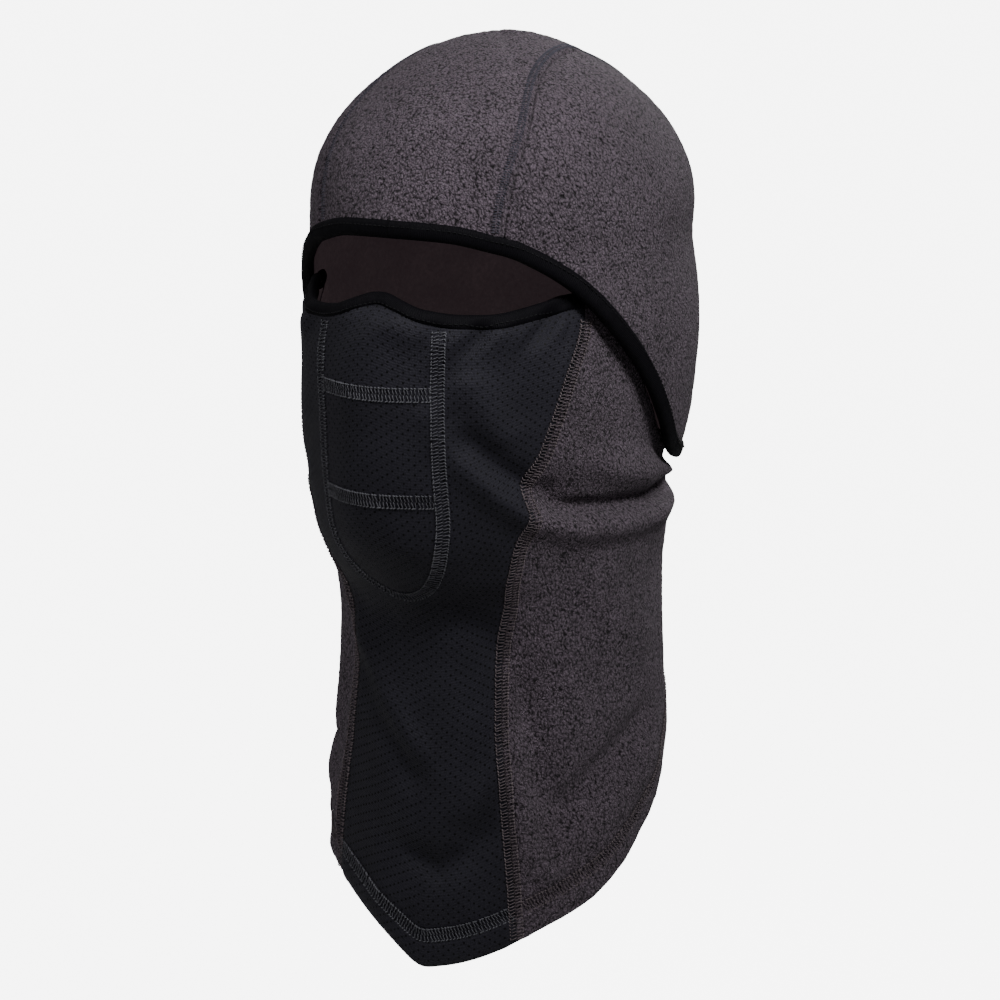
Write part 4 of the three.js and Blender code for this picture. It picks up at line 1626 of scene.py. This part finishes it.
@dataclass
class StitchBook:
    """Makes one small mesh for each kind of stitch, for the node trees to copy.

    Attributes:
        ladder_width: the width of a ladder stitch, across the seam.
        thread: a thread's radius.
    """

    ladder_width: float = 6.2
    thread: float = 0.26

    def mesh(self, kind: Stitch) -> Object:
        """Makes the pattern of one stitch, which is put away once all is sewn.

        Args:
            kind: the stitch.

        Returns:
            The pattern's object.
        """
        strands = {Stitch.LADDER: self.ladder, Stitch.BAND: self.band, Stitch.TAPE: self.tape}[kind]()
        points, quads, shift = [], [], 0
        for path, radius in strands:
            p, q = strand(path, radius)
            points.append(p)
            quads.append(q + shift)
            shift += len(p)
        name = kind.name.lower()
        mesh = mesh_from(name + "_stitch", np.concatenate(points), np.concatenate(quads), None, [])
        return plain_object("pattern_" + name, mesh)

    def ladder(self) -> list[tuple[Array, float]]:
        """Returns the strands of a ladder stitch: a leaning bar and a loop at each side."""
        half, pitch, r = self.ladder_width / 2, Stitch.LADDER.value, self.thread
        bars = [
            arc_path((-0.6 * side, side * half, 0.0), (0.4 * side, -side * 0.25, -0.1), 0.42, 5)
            for side in (-1, 1)
        ]
        back, on = -pitch * 0.46, pitch * 0.3
        loops = [
            arc_path((back, side * half, -0.1), (on, side * (half - 0.5), -0.1), 0.62, 4)
            for side in (-1, 1)
        ]
        return [*((bar, r * 0.8) for bar in bars), *((loop, r * 1.35) for loop in loops)]

    def band(self) -> list[tuple[Array, float]]:
        """Returns the strands of a flat narrow band of thread that is pressed into the nap."""
        return [
            (arc_path((-0.3, -1.9, -0.1), (0.35, 0.1, -0.1), 0.42, 4), self.thread),
            (arc_path((-0.1, 0.0, -0.1), (-0.4, 1.9, -0.1), 0.42, 4), self.thread),
        ]

    def tape(self) -> list[tuple[Array, float]]:
        """Returns the strand of the stitch that holds a tape."""
        reach = Stitch.TAPE.value * 0.38
        return [(arc_path((-reach, 0, -0.15), (reach, 0, -0.15), 0.32, 5), self.thread * 0.85)]


class Needle:
    """Sews threads along runs of places."""

    wander = 0.15  # how far a stitch may turn from its line, in radians

    def __init__(self, finishes: Finishes) -> None:
        """Makes the tree and the patterns that it copies."""
        self.finishes = finishes
        self.tree = thread_tree()
        book = StitchBook()
        self.patterns = {kind: book.mesh(kind) for kind in Stitch}
        self.seed = 0

    def sew(
        self,
        name: str,
        cloth: Cloth,
        places: Places,
        kind: Stitch,
        material: Material,
        lift: float = 0.0,
        closed: bool = False,
    ) -> Object:
        """Sews a thread.

        Args:
            name: the piece's name.
            cloth: the surface that it lies on.
            places: places along the line.
            kind: which stitch it repeats.
            material: the thread's material.
            lift: how far above the cloth the line lies.
            closed: whether the line joins its own start.

        Returns:
            The thread's object, as a plain mesh.
        """
        normals = cloth.normal(places)
        points = cloth.point(places) + normals * lift
        count = len(points)
        ring = np.arange(count)
        edges = np.stack([ring, np.roll(ring, -1)], -1)
        edges = edges if closed else edges[:-1]
        mesh = bpy.data.meshes.new(name)
        mesh.from_pydata((points * MM).tolist(), edges.tolist(), [])
        facing = mesh.attributes.new("cloth_normal", "FLOAT_VECTOR", "POINT")
        facing.data.foreach_set("vector", normals.astype(np.float32).ravel())
        self.seed += 1
        values = {
            "Stitch": self.patterns[kind],
            "Pitch": kind.value * MM,
            "Wander": self.wander,
            "Seed": self.seed,
            "Material": material,
        }
        return self.tree.apply(plain_object(name + "_line", mesh), name, values)

    def put_away(self) -> None:
        """Removes the patterns."""
        for pattern in self.patterns.values():
            bpy.data.objects.remove(pattern)


# ---- the cap


def report(piece: Object) -> Object:
    """Logs a finished piece and returns it."""
    LOG.info("%s: %d faces", piece.name, len(piece.data.polygons))
    return piece


@dataclass
class Cap:
    """The cap: a crown panel, two side panels, the tape round its edge and their threads.

    Attributes:
        finishes: the materials.
        needle: what sews the threads.
        tape_width: how far the tape reaches over the cloth.
        tape_swell: how far it stands off the cloth.
        crown_front: half the crown panel's width at the brow.
        crown_top: half its width over the head.
        crown_nape: half its width at the nape.
        spacing: the distance between the mesh's rows.
        tuck: how far inside the tape's fold the cloth ends.
        topstitch: how far the topstitch lies from the crown seam.
        join_reach: how far the nape join runs to each side of the middle, in degrees.
    """

    finishes: Finishes
    needle: Needle
    tape_width: float = 8.0
    tape_swell: float = 1.6
    crown_front: float = 46.5
    crown_top: float = 36.0
    crown_nape: float = 42.0
    spacing: float = 0.95
    tuck: float = 2.0
    topstitch: float = 3.4
    join_reach: float = 36.0

    def __post_init__(self) -> None:
        """Lays the crown panel's half width along its turn over the head."""
        nape_turn = math.pi - SIZES.nape / SIZES.crown
        front, top, nape = self.crown_front, self.crown_top, self.crown_nape
        stations = [
            (0, front),
            (math.radians(40), front + 1),
            (math.radians(72), front + (top - front) * 0.72),
            (math.radians(98), top),
            (math.pi, top + (nape - top) * 0.6),
            (nape_turn, nape),
        ]
        self.crown_half = Profile(stations)

    def cut(self, angle: Array) -> Array:
        """Returns the height at which the cloth ends inside the tape's fold."""
        return CAP_FORM.edge(angle) + CAP_FORM.edge.square_to(angle, self.tuck)

    def crown_end(self, x: Array, at_nape: bool) -> Array:
        """Returns the turn at which the crown panel ends.

        Args:
            x: distances across it from its middle.
            at_nape: whether the end at the nape is wanted, and not the one at the brow.

        Returns:
            The turn at each distance.
        """
        half = CAP_FORM.sections.half(np.array(SIZES.nape if at_nape else 0.0))
        angle = np.arcsin(np.abs(x) / half)
        if at_nape:
            return math.pi - self.cut(math.pi - angle) / SIZES.crown
        share = self.cut(angle) / (SIZES.crown * np.cos(angle))
        return np.where(share > 0, np.arcsin(np.clip(share, -1, 1)), share)

    def crown_places(self) -> Places:
        """Returns the crown panel's places, from the nape to the brow."""
        columns = round(2 * self.crown_front / self.spacing)
        u = np.linspace(-1, 1, columns + 1)[None, :]
        v = even_rows(0, 345, self.spacing)[:, None]
        front = self.crown_end(u * self.crown_front, False)
        nape = self.crown_end(u * self.crown_nape, True)
        turn = nape + (front - nape) * v
        return CAP_FORM.crown_place(u * self.crown_half(turn), turn)

    def side_places(self, side: int) -> Places:
        """Returns one side panel's places, from the crown seam to the tape.

        Args:
            side: 1 for the wearer's left, -1 for the right.

        Returns:
            A grid of places.
        """
        front = float(self.crown_end(np.array(self.crown_front), False))
        nape = float(self.crown_end(np.array(self.crown_nape), True))
        ends = (
            math.asin(self.crown_front / SIZES.cap_half),
            math.pi - math.asin(self.crown_nape / float(CAP_FORM.sections.half(np.array(SIZES.nape)))),
        )
        u = np.linspace(0, 1, round(235 / self.spacing))
        turn = front + (nape - front) * u
        seam = CAP_FORM.crown_place(self.crown_half(turn), turn)
        angle = ends[0] + (ends[1] - ends[0]) * u
        hem = np.stack([angle, CAP_FORM.latitude(self.cut(angle))], -1)
        v = even_rows(0, 128, self.spacing)[:, None, None]
        places = seam[None] * (1 - v) + hem[None] * v
        places = places * np.array([side, 1])
        return places if side > 0 else places[:, ::-1]

    def build(self) -> None:
        """Builds the cap and lets it ride on its body."""
        f = self.finishes
        grooved, taped = Edge.GROOVED, Edge.TAPED
        edges = (grooved, grooved, taped, taped)
        crown = Panel("crown_fleece", CAP_CLOTH, self.crown_places(), SIZES.fleece, edges, FLEECE_NAP)
        self.dress(crown, "crown_panel")
        edges = (taped, taped, grooved, taped)
        for side, word in ((1, "left"), (-1, "right")):
            name, places = f"cap_side_fleece_{word}", self.side_places(side)
            panel = Panel(name, CAP_CLOTH, places, SIZES.fleece, edges, FLEECE_NAP)
            self.dress(panel, f"cap_side_panel_{word}")
            self.seam_thread(side, word)
        self.binding()
        label = frame["nodes"]["care_label"]
        label.data.materials.clear()
        label.data.materials.append(f.label)

    def carry(self, piece: Object, node: str, slot: str) -> None:
        """Puts a piece on the cap's body.

        Args:
            piece: the finished piece.
            node: the CAD node that it stands for.
            slot: the record's material slot; not used.
        """
        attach(report(piece), "cap")
        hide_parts(node)

    def dress(self, panel: Panel, node: str) -> None:
        piece = panel.build(self.finishes.fleece, self.finishes.lining)
        self.carry(piece, node, "grey_fleece")

    def seam_thread(self, side: int, word: str) -> None:
        """Sews the topstitch beside a crown seam.

        Args:
            side: 1 for the wearer's left, -1 for the right.
            word: the side's name.
        """
        margin = (self.tape_width + 2) / SIZES.crown
        front = float(self.crown_end(np.array(self.crown_front), False)) + margin
        nape = float(self.crown_end(np.array(self.crown_nape), True)) - margin

        def run(t: Array) -> Places:
            """Returns places along the thread."""
            turn = front + (nape - front) * t
            across = self.crown_half(turn) - self.topstitch
            return CAP_FORM.crown_place(across, turn) * np.array([side, 1])

        places = evenly(CAP_CLOTH, run, 1.0)
        name, blue = f"crown_topstitch_{word}", self.finishes.blue_thread
        thread = self.needle.sew(name, CAP_CLOTH, places, Stitch.BAND, blue, 0.3)
        self.carry(thread, f"crown_seam_stitch_{word}", "grey_thread")

    def edge_run(self, inward: float) -> Callable[[Array], Places]:
        """Returns the run round the cap's edge, a distance in from its fold."""

        def run(t: Array) -> Places:
            """Returns places along the edge."""
            angle = t * 2 * math.pi
            height = CAP_FORM.edge(angle) + CAP_FORM.edge.square_to(angle, inward)
            return np.stack([angle, CAP_FORM.latitude(height)], -1)

        return run

    def binding(self) -> None:
        """Folds the tape round the cap's edge, sews it and joins it to the gaiter at the nape."""
        places, wide = evenly(CAP_CLOTH, self.edge_run(0.0), 1.1)[:-1], self.tape_width
        tape = Tape("cap_binding_tape", CAP_CLOTH, places, wide, self.tape_swell, SIZES.fleece, 1, True)
        self.carry(tape.build(self.finishes.tape), "cap_binding", "black_tape")
        lift, black = self.tape_swell - 0.1, self.finishes.black_thread
        places = evenly(CAP_CLOTH, self.edge_run(wide * 0.66), 1.0)[:-1]
        thread = self.needle.sew(
            "cap_binding_thread", CAP_CLOTH, places, Stitch.TAPE, black, lift, closed=True
        )
        self.carry(thread, "cap_binding_stitch", "black_thread")
        reach = math.radians(self.join_reach)
        angle = np.linspace(math.pi - reach, math.pi + reach, 60)
        places = np.stack([angle, CAP_FORM.latitude(CAP_FORM.edge(angle) + wide * 0.3)], -1)
        join = self.needle.sew("nape_join_thread", CAP_CLOTH, places, Stitch.TAPE, black, lift)
        self.carry(join, "nape_join_stitch", "black_thread")


# ---- the mask and gaiter


@dataclass
class Patch:
    """The outline of the patch over the nose, mouth and chin, in millimetres.

    Attributes:
        top_half: half its width at the top of the mask.
        low_half: half its width where its foot starts to round.
        round_height: the height where the foot starts to round.
        bottom: the height of its lowest point.
        upper_cross: the height of the seam between nose and mouth.
        lower_cross: the height of the seam between mouth and chin.
        flank: the share of the outline's thread that runs down each side.
        clear: how far the cross seams end inside the outline.
    """

    top_half: float = 28.0
    low_half: float = 29.0
    round_height: float = -112.0
    bottom: float = -157.0
    upper_cross: float = -61.5
    lower_cross: float = -108.0
    flank: float = 0.3
    clear: float = 2.6

    def half(self, z: Array) -> Array:
        """Returns the patch's half width at heights.

        Args:
            z: the heights.

        Returns:
            The half width at each height.
        """
        drop = self.round_height - self.bottom
        rise = (z - self.round_height) / (10 - self.round_height)
        flank = self.low_half + (self.top_half - self.low_half) * rise
        deep = np.clip((self.round_height - z) / drop, 0, 1)
        return np.where(z > self.round_height, flank, self.low_half * np.sqrt(1 - deep**2))

    def outline(self, top: float, t: Array) -> Places:
        """Returns places down one side, round the chin and up the other.

        Args:
            top: the height where it starts and ends.
            t: shares of the way, from 0 to 1.

        Returns:
            The places.
        """
        straight = top - self.round_height
        drop = self.round_height - self.bottom
        flank = self.flank
        turn = np.clip((t - flank) / (1 - 2 * flank), 0, 1) * math.pi
        on_round = (t > flank) & (t < 1 - flank)
        side = np.where(t <= flank, t / flank, np.clip((1 - t) / flank, 0, 1))
        flank_z = top - straight * side
        z = np.where(on_round, self.round_height - drop * np.sin(turn), flank_z)
        x_round = -self.low_half * np.cos(turn)
        x_flank = np.where(t < 0.5, -1, 1) * self.half(flank_z)
        x = np.where(on_round, x_round, x_flank)
        return np.stack([GAITER_FORM.angle_at(x, z), z], -1)


@dataclass
class Gaiter:
    """The mask and gaiter: its black front with the patch, two fleece sides, tape and threads.

    Attributes:
        finishes: the materials.
        needle: what sews the threads.
        patch: the patch over the nose, mouth and chin.
        tape_width: how far the mask's tape reaches over the cloth.
        tape_swell: how far it stands off the cloth.
        tape_end: the angle at which it ends under the cap, in degrees.
        thread_end: the angle at which its thread ends, in degrees.
        tuck: how far inside the tape's fold the cloth ends.
        hem: the height of the turned hem.
        seam_top: the height where the side seams start.
        seam_rise: how far their ends lie above the hem's point, before the hem is met.
        spacing: the distance between the mesh's rows.
        tail: distances from the hem at which extra rows lie.
        sampled: how much cloth one whole turn of the holes' coordinates covers.
        hole_pitch: the distance between holes along a row.
        hole_radius: a hole's radius.
        hole_rows: how many rows of holes are laid out, which is an odd number.
        row_share: the distance between rows as a share of the pitch.
    """

    finishes: Finishes
    needle: Needle
    patch: Patch = field(default_factory=Patch)
    tape_width: float = 7.0
    tape_swell: float = 1.4
    tape_end: float = 62.0
    thread_end: float = 49.5
    tuck: float = 2.0
    hem: float = 15.5
    seam_top: float = -25.8
    seam_rise: float = 22.0
    spacing: float = 1.0
    tail: tuple[float, ...] = (0.2, 0.55, 1.05, 1.6, 2.2, 2.9)
    sampled: float = 400.0
    hole_pitch: float = 4.8
    hole_radius: float = 0.5
    hole_rows: int = 201
    row_share: float = 0.45

    def __post_init__(self) -> None:
        """Finds the ends of the side seams and the line of the hinge at the nape."""
        self.seam_low = SIZES.hem_front + self.seam_rise
        self.top_angle = float(GAITER_FORM.seam_angle(np.array(self.seam_top)))
        self.low_angle = float(GAITER_FORM.seam_angle(np.array(self.seam_low)))
        hinge = frame["joints"][0]["pos_m"]
        self.bend = (Vector((0, hinge[1] + 0.004, hinge[2])), Vector((0, hinge[1] - 0.030, hinge[2])))

    def cut(self, angle: Array) -> Array:
        """Returns the height at which the cloth ends inside the tape's fold."""
        return GAITER_FORM.edge(angle) - GAITER_FORM.edge.square_to(angle, self.tuck)

    def seam_places(self, side: int, share: Array) -> Places:
        """Returns places down one side seam.

        Args:
            side: 1 for the wearer's left, -1 for the right.
            share: shares of the way down, from 0 to 1.

        Returns:
            The places.
        """
        z = self.seam_top + (self.seam_low - self.seam_top) * share
        places = np.stack([side * GAITER_FORM.seam_angle(z), z], -1)
        low = GAITER_FORM.hem_height(side * np.array(self.low_angle)) - self.seam_low
        places[..., 1] += low * smooth(0.55, 1.0, share)
        return places

    def front_places(self) -> Places:
        """Returns the black front's places, between the two side seams."""
        u = np.linspace(0, 1, round(152 / self.spacing) + 1)
        v = even_rows(self.seam_top, self.seam_low, self.spacing, self.tail)
        top_angle = -self.top_angle + 2 * self.top_angle * u
        low_angle = -self.low_angle + 2 * self.low_angle * u
        top = np.stack([top_angle, self.cut(top_angle)], -1)
        bottom = np.stack([low_angle, GAITER_FORM.hem_height(low_angle)], -1)
        return coons(top, bottom, self.seam_places(-1, v), self.seam_places(1, v), u, v)

    def side_places(self, side: int) -> Places:
        """Returns one fleece side's places, from its front seam to the back seam.

        Args:
            side: 1 for the wearer's left, -1 for the right.

        Returns:
            A grid of places.
        """
        u = np.linspace(0, 1, round(160 / self.spacing) + 1)
        v = even_rows(self.seam_top, self.seam_low, self.spacing, self.tail)
        top_angle = side * (self.top_angle + (math.pi - self.top_angle) * u)
        low_angle = side * (self.low_angle + (math.pi - self.low_angle) * u)
        top = np.stack([top_angle, self.cut(top_angle)], -1)
        bottom = np.stack([low_angle, GAITER_FORM.hem_height(low_angle)], -1)
        back_top = float(self.cut(np.array(math.pi)))
        back_low = float(GAITER_FORM.hem_height(np.array(math.pi)))
        back = np.stack([np.full_like(v, side * math.pi), back_top + (back_low - back_top) * v], -1)
        places = coons(top, bottom, self.seam_places(side, v), back, u, v)
        return places if side > 0 else places[:, ::-1]

    def build(self) -> None:
        """Builds the mask and gaiter, and lets the pieces that do not reach the nape seam ride on the
        gaiter's body.
        """
        self.front()
        for side, word in ((1, "left"), (-1, "right")):
            self.side(side, word)
            self.seam_thread(side, word)
        self.binding()
        self.patch_threads()
        self.back_thread()
        self.hem_threads()

    def carry(self, piece: Object, nodes: Sequence[str], slot: str, bends: bool) -> None:
        """Puts a piece on the gaiter's body, or leaves it where it is with its placing baked in.

        Args:
            piece: the finished piece.
            nodes: the CAD nodes that it stands for.
            slot: the record's material slot; not used.
            bends: whether it reaches the nape seam, where the cap holds it.
        """
        report(piece)
        if bends:
            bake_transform(piece)
        else:
            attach(piece, "gaiter")
        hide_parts(*nodes)

    def front(self) -> None:
        """Builds the black front with its perforations."""
        edges = (Edge.FLAT, Edge.FLAT, Edge.TAPED, Edge.TURNED)
        places, nap = self.front_places(), 0.03
        panel = Panel("mask_front_cloth", GAITER_CLOTH, places, SIZES.mask_cloth, edges, nap)
        piece = panel.build(self.finishes.mask, self.finishes.lining)
        nodes = ["face_panel", "nose_panel", "mouth_panel", "chin_panel"]
        self.carry(piece, nodes, "black_mask_cloth", False)
        self.perforate(panel)

    def perforate(self, panel: Panel) -> None:
        """Marks the black front's holes as small dark discs just above its face, painted shade where
        the holes would show the dark inside.

        Args:
            panel: the finished front.
        """
        rows, columns = panel.outer.shape[:2]
        index = np.arange(rows * columns).reshape(rows, columns)
        a, b, c, d = index[:-1, :-1], index[1:, :-1], index[1:, 1:], index[:-1, 1:]
        quads = np.stack([a, b, c, d], -1).reshape(-1, 4)
        lifted = panel.outer + GAITER_CLOTH.normal(panel.places) * 0.05
        uv = panel.uv.reshape(-1, 2)
        middle = (uv.min(0) + uv.max(0)) / 2
        unit = (uv - middle) / self.sampled + 0.5
        face = mesh_from("punched_face", lifted.reshape(-1, 3), quads, unit, [])
        values = {
            "Pitch": self.hole_pitch / self.sampled,
            "Radius": self.hole_radius * MM,
            "Rows": self.hole_rows,
            "Row share": self.row_share,
            "Material": self.finishes.hole,
        }
        source = plain_object("punched_face", face)
        holes = perforation_tree().apply(source, "mask_perforations", values)
        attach(report(holes), "gaiter")

    def side(self, side: int, word: str) -> None:
        """Builds one fleece side.

        Args:
            side: 1 for the wearer's left, -1 for the right.
            word: the side's name.
        """
        edges = (Edge.FLAT, Edge.FLAT, Edge.TAPED, Edge.TURNED)
        name, places = f"gaiter_side_fleece_{word}", self.side_places(side)
        panel = Panel(name, GAITER_CLOTH, places, SIZES.fleece, edges, FLEECE_NAP)
        piece = panel.build(self.finishes.fleece, self.finishes.lining)
        self.carry(piece, [f"gaiter_side_panel_{word}"], "grey_fleece", True)

    def seam_thread(self, side: int, word: str) -> None:
        """Sews the seam that joins one fleece side to the front.

        Args:
            side: 1 for the wearer's left, -1 for the right.
            word: the side's name.
        """

        def run(t: Array) -> Places:
            """Returns places down the seam."""
            return self.seam_places(side, 0.035 + 0.956 * t)

        places = evenly(GAITER_CLOTH, run, 1.0)
        name, brown = f"side_seam_thread_{word}", self.finishes.brown_thread
        thread = self.needle.sew(name, GAITER_CLOTH, places, Stitch.LADDER, brown)
        self.carry(thread, [f"side_seam_stitch_{word}"], "grey_thread", False)

    def edge_run(self, drop: float, reach: float) -> Callable[[Array], Places]:
        """Returns the run along the mask's upper edge, a distance below its fold."""

        def run(t: Array) -> Places:
            """Returns places along the edge."""
            angle = math.radians(reach) * (2 * t - 1)
            height = GAITER_FORM.edge(angle) - GAITER_FORM.edge.square_to(angle, drop)
            return np.stack([angle, height], -1)

        return run

    def binding(self) -> None:
        """Folds the tape round the mask's upper edge and sews it."""
        places = evenly(GAITER_CLOTH, self.edge_run(0.0, self.tape_end), 1.0)
        wide, swell, cloth = self.tape_width, self.tape_swell, SIZES.mask_cloth
        tape = Tape("mask_binding_tape", GAITER_CLOTH, places, wide, swell, cloth, -1, False)
        self.carry(tape.build(self.finishes.tape), ["mask_binding"], "black_tape", False)
        places = evenly(GAITER_CLOTH, self.edge_run(wide * 0.66, self.thread_end), 1.0)
        name, black = "mask_binding_thread", self.finishes.black_thread
        thread = self.needle.sew(name, GAITER_CLOTH, places, Stitch.TAPE, black, swell - 0.1)
        self.carry(thread, ["mask_binding_stitch"], "black_thread", False)

    def patch_threads(self) -> None:
        """Sews the ladder round the patch and the two across it."""
        top = float(GAITER_FORM.edge(np.array(math.radians(20)))) - self.tape_width - 1
        places = evenly(GAITER_CLOTH, lambda t: self.patch.outline(top, t), 1.0)
        name, grey = "patch_outline_thread", self.finishes.grey_thread
        thread = self.needle.sew(name, GAITER_CLOTH, places, Stitch.LADDER, grey)
        self.carry(thread, ["patch_outline_stitch"], "grey_thread", False)
        for word, height in (("upper", self.patch.upper_cross), ("lower", self.patch.lower_cross)):
            places = evenly(GAITER_CLOTH, self.cross_run(height), 1.0)
            cross = self.needle.sew(f"{word}_cross_thread", GAITER_CLOTH, places, Stitch.LADDER, grey)
            self.carry(cross, [f"{word}_cross_stitch"], "grey_thread", False)

    def cross_run(self, height: float) -> Callable[[Array], Places]:
        """Returns the run of a seam across the patch."""
        half = float(self.patch.half(np.array(height))) - self.patch.clear

        def run(t: Array) -> Places:
            """Returns places across the patch."""
            x = half * (2 * t - 1)
            z = np.full_like(x, height)
            return np.stack([GAITER_FORM.angle_at(x, z), z], -1)

        return run

    def back_thread(self) -> None:
        """Sews the seam down the back of the gaiter."""
        low = float(GAITER_FORM.hem_height(np.array(math.pi))) + 1.5

        def run(t: Array) -> Places:
            """Returns places down the back."""
            z = SIZES.nape - 7 + (low - SIZES.nape + 7) * t
            return np.stack([np.full_like(z, math.pi), z], -1)

        places = evenly(GAITER_CLOTH, run, 1.0)
        name, brown = "back_seam_thread", self.finishes.brown_thread
        thread = self.needle.sew(name, GAITER_CLOTH, places, Stitch.LADDER, brown)
        self.carry(thread, ["back_seam_stitch"], "grey_thread", True)

    def hem_threads(self) -> None:
        """Sews the hem in its three stretches."""
        seam = self.low_angle
        gap = math.radians(2.6)
        grey, brown = self.finishes.grey_thread, self.finishes.brown_thread
        stretches = [
            ("front", -seam + gap, seam - gap, grey),
            ("left", seam + gap, math.pi - gap, brown),
            ("right", -math.pi + gap, -seam - gap, brown),
        ]
        for word, start, end, material in stretches:
            places = evenly(GAITER_CLOTH, self.hem_run(start, end), 1.0)
            name = f"hem_thread_{word}"
            thread = self.needle.sew(name, GAITER_CLOTH, places, Stitch.LADDER, material)
            self.carry(thread, [f"hem_stitch_{word}"], "grey_thread", word != "front")

    def hem_run(self, start: float, end: float) -> Callable[[Array], Places]:
        """Returns the run of the hem's seam between two angles."""

        def run(t: Array) -> Places:
            """Returns places along the hem."""
            angle = start + (end - start) * t
            return np.stack([angle, GAITER_FORM.hem_height(angle) + self.hem], -1)

        return run


def coons(
    top: Places, bottom: Places, start: Places, end: Places, u: Array, v: Array
) -> Places:
    """Returns a grid of places blended from the four edges of a panel.

    Args:
        top: places along its top.
        bottom: places along its bottom.
        start: places down the edge where the rows start.
        end: places down the edge where they end.
        u: shares of the way along a row.
        v: shares of the way down.

    Returns:
        The grid.
    """
    uu, vv = u[None, :, None], v[:, None, None]
    ruled = top[None] * (1 - vv) + bottom[None] * vv + start[:, None] * (1 - uu) + end[:, None] * uu
    high = top[0] * (1 - uu) + top[-1] * uu
    low = bottom[0] * (1 - uu) + bottom[-1] * uu
    return ruled - (high * (1 - vv) + low * vv)


# ---- the studio


@dataclass
class Studio:
    """The pale sweep, the soft lights and the camera.

    Attributes:
        azimuth: how far the camera stands to the wearer's left of the front, in degrees.
        elevation: how far it stands above, in degrees.
        distance: how far it stands from its target, in metres.
        lens: its focal length in millimetres.
        target: the height that it looks at, in metres.
        lit: the height that the lights look at, in metres.
        spread: the angle that they spread over, in degrees.
        drop: how far the floor lies below the hem, in metres.
        ambient: how bright the room is for the object.
        backdrop: how bright the room looks behind it.
    """

    azimuth: float = 30.0
    elevation: float = 12.8
    distance: float = 1.455
    lens: float = 115.0
    target: float = -0.130
    lit: float = -0.01
    spread: float = 62.0
    drop: float = 0.16
    ambient: float = 0.13
    backdrop: float = 6.8

    def build(self) -> None:
        """Builds the whole studio."""
        self.sweep()
        self.lights()
        self.world()
        self.camera()

    def facing(self, azimuth: float, elevation: float) -> Vector:
        """Returns the direction from the object to a place round it.

        Args:
            azimuth: degrees from the front to the wearer's left.
            elevation: degrees above the level.
        """
        a, e = math.radians(azimuth), math.radians(elevation)
        return Vector((math.sin(a) * math.cos(e), -math.cos(a) * math.cos(e), math.sin(e)))

    def sweep(self) -> None:
        """Lays the pale floor below the hem."""
        low = SIZES.hem_front * MM - self.drop
        reach = 9.0
        mesh = bpy.data.meshes.new("studio_floor")
        corners_at = ((-reach, -reach), (reach, -reach), (reach, reach), (-reach, reach))
        square = [(x, y, low) for x, y in corners_at]
        mesh.from_pydata(square, [], [(0, 1, 2, 3)])
        mesh.materials.append(StudioFinish(linear(250, 250, 250)).build("pale paper"))
        plain_object("studio_floor", mesh)

    def lights(self) -> None:
        """Hangs the soft lights."""
        plan = [
            ("key_light", 64, 40, 1.0, 0.35, 1.22),
            ("fill_light", -32, 40, 1.1, 0.5, 0.62),
            ("top_light", 4, 74, 0.9, 0.5, 0.08),
            ("back_light", 188, 20, 1.2, 0.6, 0.80),
        ]
        for name, azimuth, elevation, far, size, watts in plan:
            light = bpy.data.lights.new(name, "AREA")
            light.shape = "DISK"
            light.size = size
            light.energy = watts
            light.spread = math.radians(self.spread)
            lamp = plain_object(name, light)
            direction = self.facing(azimuth, elevation)
            lamp.location = Vector((0, 0, self.lit)) + direction * far
            lamp.rotation_euler = direction.to_track_quat("Z", "Y").to_euler()

    def world(self) -> None:
        """Makes the plain pale background."""
        world = bpy.data.worlds.new("pale room")
        world.use_nodes = True
        nodes, links = world.node_tree.nodes, world.node_tree.links
        back = nodes["Background"]
        back.inputs[0].default_value = (1.0, 1.0, 1.0, 1.0)
        seen = nodes.new("ShaderNodeLightPath").outputs["Is Camera Ray"]
        strength = nodes.new("ShaderNodeMapRange")
        strength.inputs["To Min"].default_value = self.ambient
        strength.inputs["To Max"].default_value = self.backdrop
        links.new(seen, strength.inputs["Value"])
        links.new(strength.outputs["Result"], back.inputs[1])
        bpy.context.scene.world = world

    def camera(self) -> None:
        """Sets the camera at its angle."""
        camera = bpy.data.cameras.new("camera")
        camera.lens = self.lens
        camera.sensor_width = 36.0
        camera.clip_start = 0.05
        camera.clip_end = 40.0
        stand = plain_object("camera", camera)
        direction = self.facing(self.azimuth, self.elevation)
        stand.location = Vector((0, 0, self.target)) + direction * self.distance
        stand.rotation_euler = direction.to_track_quat("Z", "Y").to_euler()
        bpy.context.scene.camera = stand


def main() -> None:
    """Builds the balaclava and its studio."""
    logging.basicConfig(level=logging.INFO, format="%(name)s: %(message)s")
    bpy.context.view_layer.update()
    Studio().build()
    finishes = Finishes()
    needle = Needle(finishes)
    Cap(finishes, needle).build()
    Gaiter(finishes, needle).build()
    needle.put_away()


if __name__ == "__main__":
    main()
